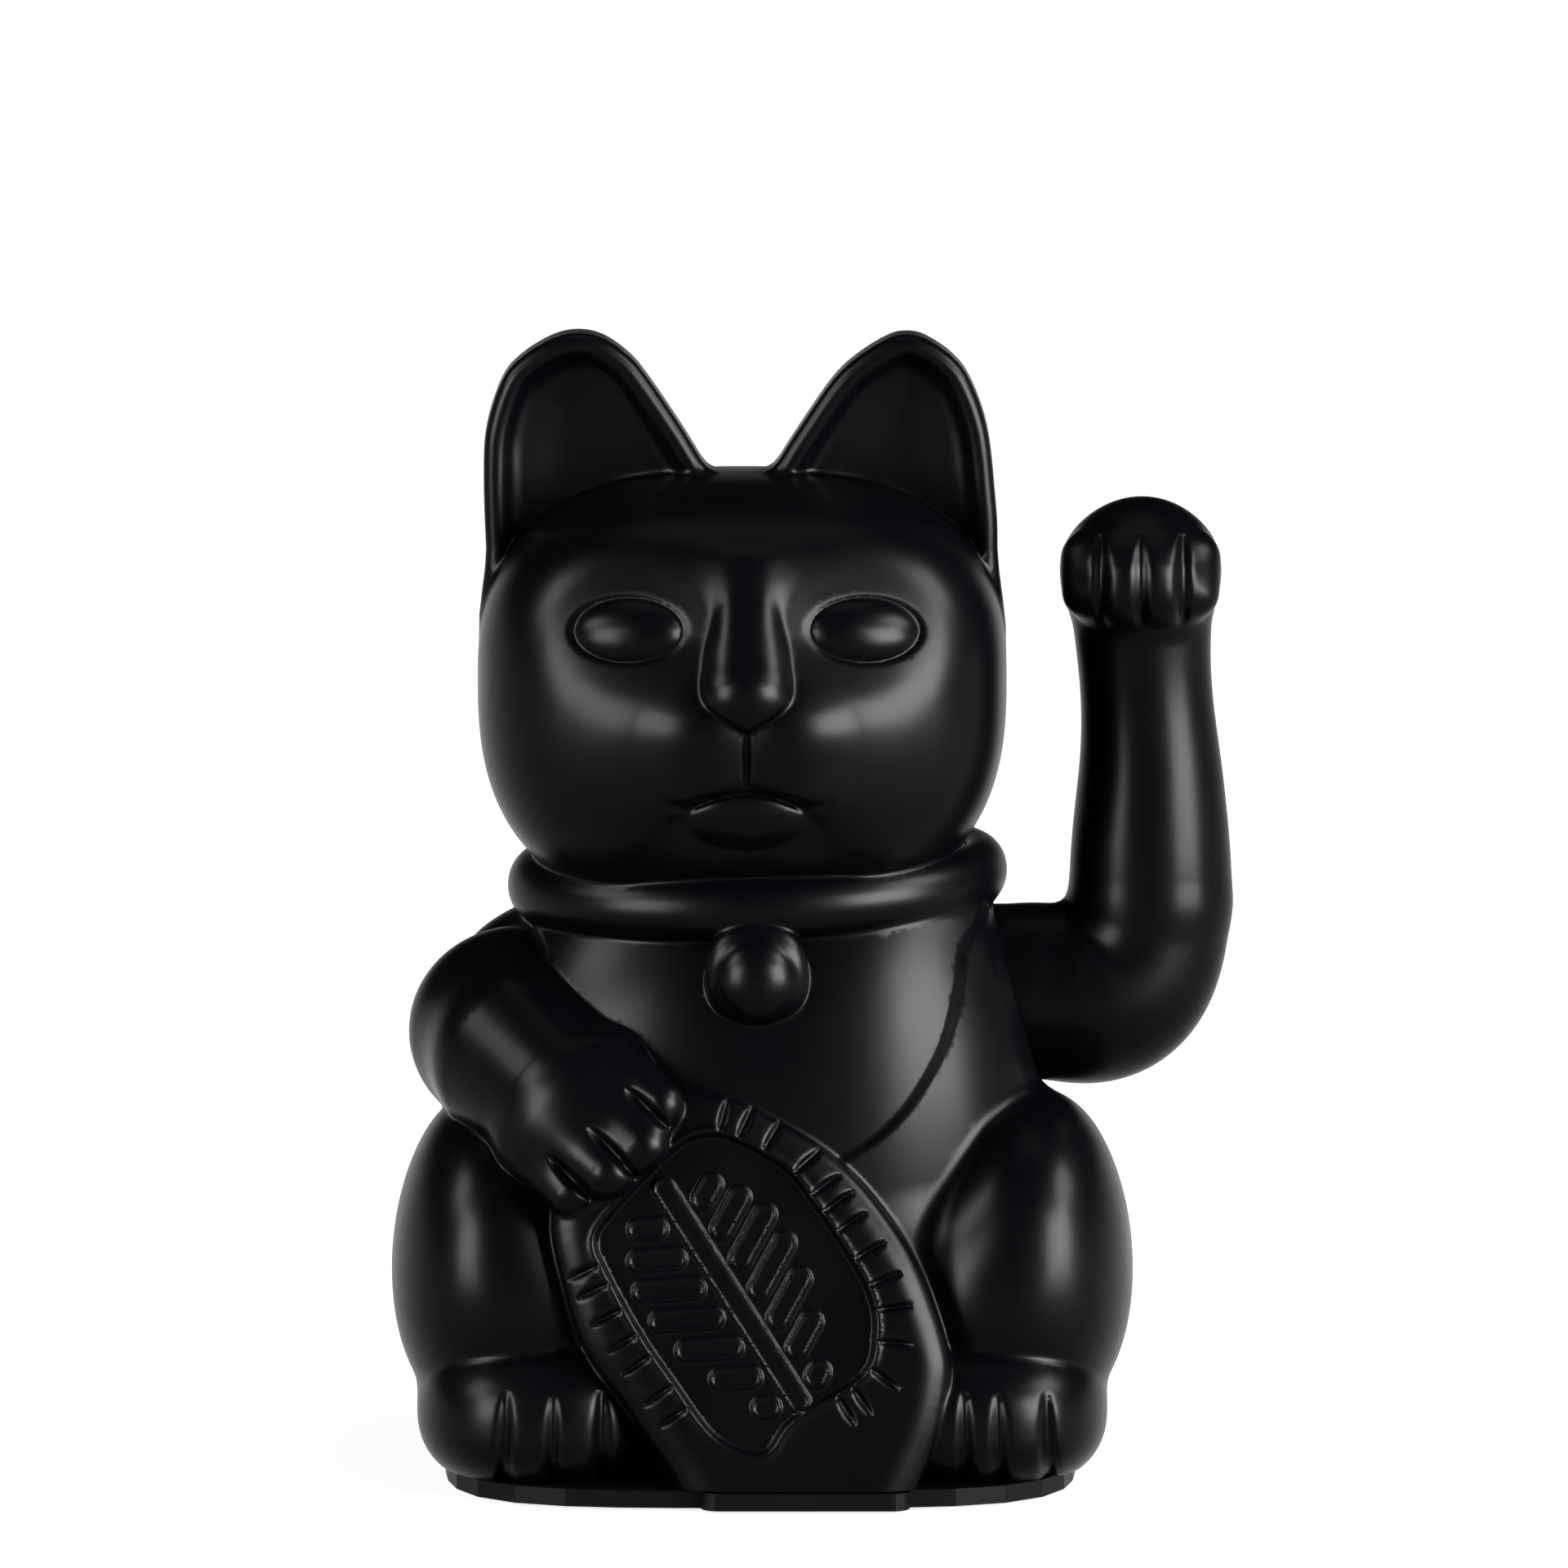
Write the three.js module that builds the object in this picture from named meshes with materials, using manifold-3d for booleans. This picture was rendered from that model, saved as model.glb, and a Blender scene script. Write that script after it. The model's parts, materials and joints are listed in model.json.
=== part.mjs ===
// A beckoning cat figurine with a battery-driven arm, in millimetres.
// +Z is up, the cat faces -Y, and the origin is on the underside of the base plate.
// Two hollow shells, front and rear, stand on the base plate. Inside, a bracket carries
// an axle: the raised arm sits on its outer end, a weighted pendulum hangs from the middle,
// and a coil on the circuit board pushes the magnet at the pendulum's foot.
import * as THREE from "three";
import { mergeVertices } from "three/addons/utils/BufferGeometryUtils.js";
import Module from "manifold-3d";

const wasm = await Module();
wasm.setup();

// ---------------------------------------------------------------- driving dimensions
const GAP = 0.3; // play between two pieces that touch
const WALL = 2.2; // thickness of the body shells
const ARM_WALL = 1.8; // thickness of the raised arm's shells
const SEAM_Y = 4; // plane in which the front and rear shells meet
const SHOULDER_Z = 61.5; // height of the axle that the raised arm turns on
const RIM_HEIGHT = 2.3; // visible edge of the base plate
const SHELL_FLOOR = RIM_HEIGHT + GAP; // underside of the two shells
const DECK_Z = 4; // top of the base plate inside the shells
const HEAD_X = -2.2; // the head sits a little to one side of the base

const PAW_X = 50; // forearm and paw of the raised arm
const STUB_RADIUS = 12; // round upper arm that turns in the body's side
const STUB_START_X = 29.6;
const POCKET_FLOOR_X = 29;
const POCKET_RADIUS = 13.2;

const AXLE_RADIUS = 1.5;
const AXLE_START_X = -6.4;
const AXLE_END_X = 35.4;
const PENDULUM_X = 9;
const MAGNET_BOTTOM_Z = 30.9;
const MAGNET_RADIUS = 6;
const MAGNET_HEIGHT = 4;
// The weights sit a little to the rear, so that the arm balances upright.
const BALANCE_SHIFT_Y = 0.37;

const CELL_RADIUS = 7.1; // an AA cell
const CELL_LENGTH = 49.5;
const CELL_Y = 14;
const CELL_Z = 9.6;
const BAY_HALF_LENGTH = 29;
const BAY_HALF_WIDTH = 7.7;
const BAY_CEILING_Z = 17.3;
const BAY_WALL = 1.5;
const BAY_TOP_Z = BAY_CEILING_Z + BAY_WALL;
const DOOR_THICKNESS = 1.5;
const DOOR_BOTTOM_Z = 0.4;

const BRACKET_FLOOR_Z = BAY_TOP_Z + GAP;
const BRACKET_THICKNESS = 1.7;
const BRACKET_LEFT_X = -4;
const BRACKET_RIGHT_X = 20;
const BRACKET_SCREWS = [[-9, -5], [27, -5]];
const BOARD_BOTTOM_Z = 21.9;
const BOARD_TOP_Z = 23.5;
const BOARD_SCREWS = [[1.5, 19], [16.5, -5]];
const COIL_Y = SEAM_Y;

const SWITCH_X = -22;
const SWITCH_Y = -12;
const SWITCH_TRAVEL = 2;
const BASE_SCREWS = {
  front_left: [-28, -21],
  front_right: [28, -21],
  rear_left: [-22, 27.5],
  rear_right: [22, 27.5],
};

// ---------------------------------------------------------------- shapes and booleans
const X_AXIS = new THREE.Vector3(1, 0, 0);
const Z_AXIS = new THREE.Vector3(0, 0, 1);

function solidOf(geometry) {
  const bare = geometry.clone();
  bare.deleteAttribute("normal");
  bare.deleteAttribute("uv");
  const merged = mergeVertices(bare, 1e-4);
  const corners = Array.from(merged.index.array);
  const kept = [];
  for (let i = 0; i < corners.length; i += 3) {
    const [a, b, c] = corners.slice(i, i + 3);
    if (a !== b && b !== c && c !== a) kept.push(a, b, c);
  }
  return new wasm.Manifold(
    new wasm.Mesh({
      numProp: 3,
      vertProperties: merged.attributes.position.array,
      triVerts: new Uint32Array(kept),
    }),
  );
}

function geometryOf(solid) {
  const mesh = solid.getMesh();
  const positions = new Float32Array(mesh.numVert * 3);
  for (let i = 0; i < mesh.numVert; i++) {
    const start = i * mesh.numProp;
    positions.set(mesh.vertProperties.subarray(start, start + 3), i * 3);
  }
  const geometry = new THREE.BufferGeometry();
  geometry.setAttribute("position", new THREE.BufferAttribute(positions, 3));
  geometry.setIndex(new THREE.BufferAttribute(mesh.triVerts, 1));
  geometry.computeVertexNormals();
  return geometry;
}

const join = (...geometries) => geometries.map(solidOf).reduce((all, next) => all.add(next));

const cut = (solid, ...geometries) => geometries.reduce((left, g) => left.subtract(solidOf(g)), solid);

// The main body of a solid, without the slivers that crossing hollows leave closed off.
const largest = (solid) => solid.decompose().sort((a, b) => b.volume() - a.volume())[0];

function block(low, high) {
  const size = high.map((value, i) => value - low[i]);
  const centre = high.map((value, i) => (value + low[i]) / 2);
  return new THREE.BoxGeometry(...size).translate(...centre);
}

// A round bar from one end to the other along a direction.
function bar(radius, start, length, axis = Z_AXIS, sides = 24, endRadius = radius) {
  const geometry = new THREE.CylinderGeometry(endRadius, radius, length, sides);
  geometry.translate(0, length / 2, 0);
  geometry.applyQuaternion(new THREE.Quaternion().setFromUnitVectors(new THREE.Vector3(0, 1, 0), axis));
  return geometry.translate(...start);
}

// A turned piece: its profile is pairs of radius and height, and it turns about +Z.
function turned(profile, sides = 24) {
  const points = profile.map(([radius, height]) => new THREE.Vector2(radius, height));
  return new THREE.LatheGeometry(points, sides).rotateX(Math.PI / 2);
}

// A rounded mass. A power of 2 is an ellipsoid, and a higher one is boxier.
function mass({ at, half, power = 2 }, inset = 0, sides = 20) {
  const geometry = new THREE.SphereGeometry(1, sides, Math.round(sides * 0.6)).rotateX(Math.PI / 2);
  const position = geometry.getAttribute("position");
  const point = new THREE.Vector3();
  for (let i = 0; i < position.count; i++) {
    point.fromBufferAttribute(position, i);
    const sum = point.toArray().reduce((total, value) => total + Math.abs(value) ** power, 0);
    point.multiplyScalar(sum ** (-1 / power));
    position.setXYZ(i, ...point.toArray().map((value, axis) => value * (half[axis] - inset)));
  }
  return geometry.translate(...at);
}

// A plate cut from an outline in X and Z, reaching from one Y to another.
function standingPlate(shape, fromY, toY, bevel = 0, curveSegments = 4) {
  const geometry = new THREE.ExtrudeGeometry(shape, {
    depth: toY - fromY - 2 * bevel,
    bevelEnabled: bevel > 0,
    bevelThickness: bevel,
    bevelSize: bevel,
    bevelOffset: -bevel,
    bevelSegments: 2,
    curveSegments,
  });
  return geometry.rotateX(Math.PI / 2).translate(0, toY - bevel, 0);
}

// A plate cut from an outline in X and Y, lying flat.
function lyingPlate(shape, fromZ, toZ) {
  return new THREE.ExtrudeGeometry(shape, {
    depth: toZ - fromZ,
    bevelEnabled: false,
    curveSegments: 12,
  }).translate(0, 0, fromZ);
}

function superellipse(halfWidth, halfDepth, power, centreY, steps = 44) {
  const points = [];
  for (let i = 0; i < steps; i++) {
    const angle = (2 * Math.PI * i) / steps;
    const [c, s] = [Math.cos(angle), Math.sin(angle)];
    const reach = (Math.abs(c) ** power + Math.abs(s) ** power) ** (-1 / power);
    points.push(new THREE.Vector2(halfWidth * c * reach, centreY + halfDepth * s * reach));
  }
  return new THREE.Shape(points);
}

function wireAlong(points, radius, steps = points.length * 2, sides = 8) {
  const path = new THREE.CatmullRomCurve3(points.map((p) => new THREE.Vector3(...p)));
  const section = new THREE.Shape().absarc(0, 0, radius, 0, 2 * Math.PI);
  return new THREE.ExtrudeGeometry(section, {
    extrudePath: path,
    steps,
    curveSegments: sides,
  });
}

const deckOutline = (play) => superellipse(38 + play, 28 + play, 3.2, 1, 32);

// The battery bay's footprint, grown by a margin on each side.
function bayBlock(margin, fromZ, toZ) {
  const halfLength = BAY_HALF_LENGTH + margin;
  const halfWidth = BAY_HALF_WIDTH + margin;
  return block([-halfLength, CELL_Y - halfWidth, fromZ], [halfLength, CELL_Y + halfWidth, toZ]);
}

// ---------------------------------------------------------------- materials
const finish = (color, roughness, metalness = 0) => new THREE.MeshStandardMaterial({ color, roughness, metalness });
const SATIN_BLACK = finish(0x26282b, 0.42);
const BASE_BLACK = finish(0x1b1c1e, 0.55);
const GREY_PLASTIC = finish(0x8b8f94, 0.6);
const STEEL = finish(0xb9bcc0, 0.3, 1);
const SPRING_STEEL = finish(0xc9ccd0, 0.25, 1);
const BRASS = finish(0xb08d4a, 0.35, 1);
const COPPER = finish(0xb4603a, 0.35, 1);
const BOARD_GREEN = finish(0x2f6b45, 0.5);
const MAGNET_NICKEL = finish(0xa9abae, 0.2, 1);
const CELL_SLEEVE = finish(0x3b5f8c, 0.35);
const COMPONENT_BLACK = finish(0x151515, 0.5);
const CAPACITOR_BLUE = finish(0x22345f, 0.4);
const RESISTOR_TAN = finish(0xc9ab7c, 0.6);
const WIRE_RED = finish(0xa92424, 0.5);
const WIRE_BLACK = finish(0x101010, 0.5);

function piece(name, shape, material, position = [0, 0, 0]) {
  const geometry = shape.isBufferGeometry ? shape : geometryOf(shape);
  const mesh = new THREE.Mesh(geometry, material);
  mesh.name = name;
  mesh.position.set(...position);
  return mesh;
}

// ---------------------------------------------------------------- the cat's body
const HEAD = { at: [HEAD_X, -1.5, 104], half: [34.7, 31.5, 27.5], power: 2.6 };
const TORSO = { at: [-0.5, 0.5, 38], half: [38.2, 32.5, 50.2], power: 2.2 };
const HAUNCHES = { at: [0, 1, 16], half: [45, 35, 24], power: 3.2 };
const THIGHS = [-1, 1].map((side) => ({ at: [side * 31, -8, 26], half: [17.8, 27, 24], power: 2.3 }));
const FEET = [-1, 1].map((side) => ({ at: [side * 28.3, -15.5, 9.5], half: [17.6, 24.8, 10.5], power: 2.5 }));
const LOWERED_UPPER_ARM = { at: [-31.5, -4, 57.4], half: [14.8, 17, 15] };
const LOWERED_FOREARM = { at: [-27.5, -21.5, 51.5], half: [13.5, 14.5, 12] };
const LOWERED_PAW = { at: [-19, -32.5, 47.5], half: [8.5, 8, 8.5] };
const HOLLOW_MASSES = [HEAD, TORSO, HAUNCHES, ...THIGHS, ...FEET, LOWERED_UPPER_ARM, LOWERED_FOREARM];

const EAR_TIP_Z = 149.8;
const EAR_FRONT_Y = SEAM_Y - 6.5;
const EAR_BACK_Y = SEAM_Y + 5.5;
const EAR_RECESS_DEPTH = 3;
const EAR_RIM = 2.6;

// One ear's outline, drawn outwards from the middle of the head and drawn in by an inset.
function earOutline(side, inset = 0) {
  const at = (offset, z) => new THREE.Vector2(HEAD_X + side * offset, z);
  const shape = new THREE.Shape();
  const start = at(8 + inset, 116);
  shape.moveTo(start.x, start.y);
  shape.splineThru([
    at(5.4 + inset * 1.2, 132),
    at(12.6 + inset * 0.9, 144 - inset * 0.5),
    at(21.3, EAR_TIP_Z - inset),
    at(31.6 - inset * 0.8, 143 - inset * 0.5),
    at(34 - inset, 130),
    at(33.4 - inset, 110),
  ]);
  return shape;
}

const KOBAN_LEAN = THREE.MathUtils.degToRad(10);
const KOBAN_TILT = THREE.MathUtils.degToRad(32);
const KOBAN_CENTRE = [-2, -36.6, 25];
const KOBAN_HALF_LENGTH = 32;
const KOBAN_HALF_WIDTH = 22;
const KOBAN_THICKNESS = 6;

// The oval coin that the lowered paw holds: it leans on the belly, tilted to one side.
function koban() {
  const outline = new THREE.Shape().absellipse(0, 0, KOBAN_HALF_WIDTH, KOBAN_HALF_LENGTH, 0, 2 * Math.PI);
  return standingPlate(outline, -KOBAN_THICKNESS / 2, KOBAN_THICKNESS / 2, 1.2, 12)
    .rotateY(-KOBAN_TILT)
    .rotateX(-KOBAN_LEAN)
    .translate(...KOBAN_CENTRE);
}

const COLLAR_RADIUS = 3.8;
const COLLAR_HALF_WIDTH = 28.3;
const COLLAR_HALF_DEPTH = 26.5;
const COLLAR_AT = [-0.8, 0.5, 76.6];

function collar() {
  const depthShare = COLLAR_HALF_DEPTH / COLLAR_HALF_WIDTH;
  return new THREE.TorusGeometry(COLLAR_HALF_WIDTH, COLLAR_RADIUS, 8, 30)
    .scale(1, depthShare, 1)
    .translate(...COLLAR_AT);
}

const BELL = { at: [-0.5, -29.5, 68.6], half: [5.4, 3.6, 5.4] };
const BELL_RIM_RADIUS = 6.6;
const TAIL = { at: [0, 35.5, 17], half: [12, 5.5, 8] };

const shoulderAt = (x) => [x, SEAM_Y, SHOULDER_Z];

// Posts inside the shells that the base screws bite into, each with a rib to the wall.
function screwPost([x, y], wallY) {
  const rib = block([x - 0.9, Math.min(y, wallY), DECK_Z + GAP], [x + 0.9, Math.max(y, wallY), 14]);
  return join(bar(3.4, [x, y, DECK_Z + GAP], 14 - DECK_Z - GAP), rib);
}

function bodySolid() {
  const ears = [-1, 1].map((side) => standingPlate(earOutline(side), EAR_FRONT_Y, EAR_BACK_Y));
  const outer = join(
    ...HOLLOW_MASSES.map((shape) => mass(shape)),
    mass(LOWERED_PAW, 0, 14),
    mass(BELL, 0, 12),
    mass(TAIL, 0, 12),
    bar(BELL_RIM_RADIUS, [BELL.at[0], -28, BELL.at[2]], 4.4, new THREE.Vector3(0, -1, 0), 20),
    collar(),
    koban(),
    ...ears,
  );
  const hollow = join(...HOLLOW_MASSES.map((shape) => mass(shape, WALL, 12)));
  const earHollows = [-1, 1].map((side) =>
    standingPlate(earOutline(side, WALL), EAR_FRONT_Y + EAR_RECESS_DEPTH + WALL, EAR_BACK_Y - WALL),
  );
  const earRecesses = [-1, 1].map((side) =>
    standingPlate(earOutline(side, EAR_RIM), -40, EAR_FRONT_Y + EAR_RECESS_DEPTH),
  );
  const forehead = solidOf(mass(HEAD));
  const posts = Object.entries(BASE_SCREWS)
    .map(([place, at]) => screwPost(at, place.startsWith("front") ? -42 : 42))
    .reduce((all, next) => all.add(next));
  const pocketLining = solidOf(bar(POCKET_RADIUS + WALL, shoulderAt(POCKET_FLOOR_X - WALL), 14, X_AXIS, 32));
  const recesses = earRecesses.map(solidOf).reduce((all, next) => all.add(next)).subtract(forehead);
  const shells = outer
    .subtract(hollow)
    .subtract(join(...earHollows))
    .subtract(recesses)
    .add(posts.add(pocketLining).intersect(outer));
  return cut(
    shells,
    bar(POCKET_RADIUS, shoulderAt(POCKET_FLOOR_X), 30, X_AXIS, 32),
    bar(2 * AXLE_RADIUS, shoulderAt(POCKET_FLOOR_X - 8), 12, X_AXIS),
    ...Object.values(BASE_SCREWS).map(([x, y]) => bar(1.5, [x, y, 0], 13)),
    block([-90, -90, -40], [90, 90, SHELL_FLOOR]),
    lyingPlate(deckOutline(GAP), 0, DECK_Z + GAP),
    bayBlock(BAY_WALL + GAP, 0, BAY_TOP_Z + GAP),
  );
}

const body = bodySolid();
const FAR = 200;
const frontHalf = (seam) => block([-FAR, -FAR, -FAR], [FAR, seam - GAP / 2, FAR]);
const rearHalf = (seam) => block([-FAR, seam + GAP / 2, -FAR], [FAR, FAR, FAR]);
const frontShell = largest(body.intersect(solidOf(frontHalf(SEAM_Y))));
const rearShell = largest(body.intersect(solidOf(rearHalf(SEAM_Y))));

const shells = new THREE.Group();
shells.add(piece("front_shell", frontShell, SATIN_BLACK));
shells.add(piece("rear_shell", rearShell, SATIN_BLACK));

// ---------------------------------------------------------------- base plate and battery bay
const HEAD_DEPTH = 1.2; // a base screw's head
const HEAD_RADIUS = 2.6;
const HEAD_BOTTOM_Z = 0.2;

// The tongue that carries the coin's foot.
const TAB_LEFT = -7.8;
const TAB_RIGHT = 19.6;
const TAB_FRONT = -43.6;
const TAB_CORNER = 2.5;

function basePlate() {
  const plate = join(
    lyingPlate(superellipse(41.5, 38.5, 4, -2.5), 0, RIM_HEIGHT),
    lyingPlate(deckOutline(0), 0, DECK_Z),
    block([TAB_LEFT + TAB_CORNER, TAB_FRONT, 0], [TAB_RIGHT - TAB_CORNER, -30, RIM_HEIGHT]),
    block([TAB_LEFT, TAB_FRONT + TAB_CORNER, 0], [TAB_RIGHT, -30, RIM_HEIGHT]),
    ...[TAB_LEFT + TAB_CORNER, TAB_RIGHT - TAB_CORNER].map((x) =>
      bar(TAB_CORNER, [x, TAB_FRONT + TAB_CORNER, 0], RIM_HEIGHT, Z_AXIS, 24),
    ),
    bayBlock(BAY_WALL, 0, BAY_TOP_Z),
    ...BRACKET_SCREWS.map(([x, y]) => bar(3, [x, y, 1], BAY_TOP_Z - 1, Z_AXIS, 16)),
  );
  return cut(
    plate,
    bayBlock(0, -1, BAY_CEILING_Z),
    block([SWITCH_X - 3.4, SWITCH_Y - 1.8, -1], [SWITCH_X + 3.4, SWITCH_Y + 1.8, DECK_Z + 1]),
    ...Object.values(BASE_SCREWS).map(([x, y]) => bar(1.5, [x, y, -1], 8, Z_AXIS, 16)),
    ...Object.values(BASE_SCREWS).map(([x, y]) => bar(HEAD_RADIUS + GAP, [x, y, -1], 2.7, Z_AXIS, 20)),
    ...BRACKET_SCREWS.map(([x, y]) => bar(1.2, [x, y, BAY_TOP_Z - 7], 9, Z_AXIS, 16)),
  );
}

function baseScrew() {
  return join(bar(HEAD_RADIUS, [0, 0, 0], HEAD_DEPTH, Z_AXIS, 20), bar(1.2, [0, 0, 0.6], 11, Z_AXIS, 14));
}

// The door closes the bay from below: a lip at one end and a spring tongue at the other.
function batteryDoor() {
  const half = [BAY_HALF_LENGTH - GAP, BAY_HALF_WIDTH - GAP];
  const leaf = block([-half[0], -half[1], 0], [half[0], half[1], DOOR_THICKNESS]);
  const grips = [-1, 0, 1].map((i) => block([20 + i * 2.4 - 0.5, -4, -0.3], [20 + i * 2.4 + 0.5, 4, 0.5]));
  const tongue = block([half[0] - 1.2, -3, 0], [half[0], 3, 2.8]);
  return join(leaf, tongue, ...grips);
}

function batteryCell() {
  return turned([
    [0, 0],
    [CELL_RADIUS, 0],
    [CELL_RADIUS, CELL_LENGTH - 1],
    [2.75, CELL_LENGTH - 1],
    [2.75, CELL_LENGTH],
    [0, CELL_LENGTH],
  ]).rotateY(Math.PI / 2);
}

// The negative contact: a steel tab with a wound spring that presses on the cell.
function springContact() {
  const turns = 2.5;
  const points = [];
  for (let i = 0; i <= 20; i++) {
    const angle = (2 * Math.PI * turns * i) / 20;
    const radius = 4 - (1.2 * i) / 20;
    points.push([0.5 + (2.1 * i) / 20, radius * Math.cos(angle), radius * Math.sin(angle)]);
  }
  return join(block([0, -5.5, -6], [0.5, 5.5, 6]), wireAlong(points, 0.35, 26, 6));
}

const base = new THREE.Group();
base.add(piece("base_plate", basePlate(), BASE_BLACK));
for (const [place, [x, y]] of Object.entries(BASE_SCREWS)) {
  base.add(piece(`base_screw_${place}`, baseScrew(), STEEL, [x, y, HEAD_BOTTOM_Z]));
}
base.add(piece("battery_door", batteryDoor(), BASE_BLACK, [0, CELL_Y, DOOR_BOTTOM_Z]));
base.add(piece("battery_cell", batteryCell(), CELL_SLEEVE, [-CELL_LENGTH / 2 + 1.2, CELL_Y, CELL_Z]));
base.add(piece("battery_minus_contact", springContact(), SPRING_STEEL, [-BAY_HALF_LENGTH + GAP, CELL_Y, CELL_Z]));
const plusContact = join(block([0, -5.5, -6], [0.5, 5.5, 6]), block([-0.9, -2, -2], [0.2, 2, 2]));
base.add(piece("battery_plus_contact", plusContact, SPRING_STEEL, [BAY_HALF_LENGTH - GAP - 0.5, CELL_Y, CELL_Z]));

// ---------------------------------------------------------------- switch
function switchBody() {
  const can = join(block([-5.5, -3.5, DECK_Z + GAP], [5.5, 3.5, DECK_Z + 5]));
  return cut(can, block([-4.3, -2, 0], [4.3, 2, DECK_Z + 2.5]));
}

function switchSlider() {
  return join(
    block([-1.5, -1.4, 0.5], [1.5, 1.4, DECK_Z + 1]),
    block([-2.4, -1.6, DECK_Z + 0.6], [2.4, 1.6, DECK_Z + 2]),
  );
}

base.add(piece("switch_body", switchBody(), STEEL, [SWITCH_X, SWITCH_Y, 0]));
base.add(piece("switch_slider", switchSlider(), COMPONENT_BLACK, [SWITCH_X - SWITCH_TRAVEL / 2, SWITCH_Y, 0]));

// ---------------------------------------------------------------- bracket and circuit board
const BUSH_RADIUS = 3.4;

function axleBracket() {
  const top = SHOULDER_Z + 7;
  const cheek = (x) => block([x, SEAM_Y - 7, BRACKET_FLOOR_Z], [x + 2, SEAM_Y + 7, top]);
  const floorTop = BRACKET_FLOOR_Z + BRACKET_THICKNESS;
  const frame = join(
    block([-12.5, -9, BRACKET_FLOOR_Z], [30.5, 23, floorTop]),
    cheek(BRACKET_LEFT_X),
    cheek(BRACKET_RIGHT_X),
    ...BOARD_SCREWS.map(([x, y]) => bar(2.4, [x, y, floorTop - 0.5], BOARD_BOTTOM_Z - GAP - floorTop + 0.5)),
  );
  return cut(
    frame,
    bar(BUSH_RADIUS + GAP, shoulderAt(-20), 60, X_AXIS),
    ...BRACKET_SCREWS.map(([x, y]) => bar(1.5, [x, y, 10], 20, Z_AXIS, 16)),
    ...BOARD_SCREWS.map(([x, y]) => bar(1.1, [x, y, 10], 20, Z_AXIS, 12)),
  );
}

const axleBush = () =>
  cut(
    join(
      bar(BUSH_RADIUS, [-0.2, 0, 0], 2.4, X_AXIS),
      bar(BUSH_RADIUS + 1.2, [2.3, 0, 0], 0.8, X_AXIS),
      bar(BUSH_RADIUS, [2, 0, 0], 0.6, X_AXIS),
    ),
    bar(AXLE_RADIUS + GAP, [-2, 0, 0], 8, X_AXIS),
  );

const panScrew = (headRadius, shankRadius, length) =>
  join(bar(headRadius, [0, 0, 0], 1.4, Z_AXIS, 18), bar(shankRadius, [0, 0, -length], length + 0.5, Z_AXIS, 12));

const drive = new THREE.Group();
drive.add(piece("axle_bracket", axleBracket(), GREY_PLASTIC));
BRACKET_SCREWS.forEach(([x, y], i) => {
  const top = BRACKET_FLOOR_Z + BRACKET_THICKNESS + GAP;
  drive.add(piece(`bracket_screw_${i + 1}`, panScrew(2.4, 0.9, 6), STEEL, [x, y, top]));
});
const leftBush = piece("inner_axle_bush", axleBush(), BRASS, shoulderAt(BRACKET_LEFT_X + 2));
leftBush.rotation.y = Math.PI;
drive.add(leftBush);
drive.add(piece("outer_axle_bush", axleBush(), BRASS, shoulderAt(BRACKET_RIGHT_X)));

const boardHoles = BOARD_SCREWS.map(([x, y]) => bar(1.1, [x, y, 10], 20, Z_AXIS, 12));
const board = cut(join(block([-1.3, -8, BOARD_BOTTOM_Z], [19.3, 22, BOARD_TOP_Z])), ...boardHoles);
drive.add(piece("circuit_board", board, BOARD_GREEN));
BOARD_SCREWS.forEach(([x, y], i) => {
  drive.add(piece(`board_screw_${i + 1}`, panScrew(1.7, 0.8, 4), STEEL, [x, y, BOARD_TOP_Z + GAP]));
});

const BOBBIN = { inner: 2.4, core: 3.6, flange: 7, height: 5.6, web: 0.8 };
const bobbin = turned([
  [BOBBIN.inner, 0],
  [BOBBIN.flange, 0],
  [BOBBIN.flange, BOBBIN.web],
  [BOBBIN.core, BOBBIN.web],
  [BOBBIN.core, BOBBIN.height - BOBBIN.web],
  [BOBBIN.flange, BOBBIN.height - BOBBIN.web],
  [BOBBIN.flange, BOBBIN.height],
  [BOBBIN.inner, BOBBIN.height],
  [BOBBIN.inner, 0],
]);
const winding = turned([
  [BOBBIN.core + GAP, BOBBIN.web + GAP],
  [BOBBIN.flange - 0.6, BOBBIN.web + GAP],
  [BOBBIN.flange - 0.6, BOBBIN.height - BOBBIN.web - GAP],
  [BOBBIN.core + GAP, BOBBIN.height - BOBBIN.web - GAP],
  [BOBBIN.core + GAP, BOBBIN.web + GAP],
]);
const coilAt = [PENDULUM_X, COIL_Y, BOARD_TOP_Z + GAP];
drive.add(piece("coil_bobbin", bobbin, COMPONENT_BLACK, coilAt));
drive.add(piece("coil_winding", winding, COPPER, coilAt));

const transistor = cut(join(bar(2.3, [0, 0, 1.5], 4.2)), block([-3, -3, 0], [3, -1.2, 8])).add(
  join(...[-1.2, 0, 1.2].map((x) => bar(0.3, [x, 0, 0], 2, Z_AXIS, 8))),
);
drive.add(piece("transistor", transistor, COMPONENT_BLACK, [4, 16, BOARD_TOP_Z + GAP]));
const capacitor = bar(2.5, [0, 0, 0], 5.4).translate(14.5, 17, BOARD_TOP_Z + GAP);
drive.add(piece("capacitor", capacitor, CAPACITOR_BLUE));
const resistor = bar(1.1, [-3, 0, 1.4], 6, X_AXIS, 14);
drive.add(piece("resistor", resistor, RESISTOR_TAN, [5, -5, BOARD_TOP_Z + GAP]));

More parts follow.
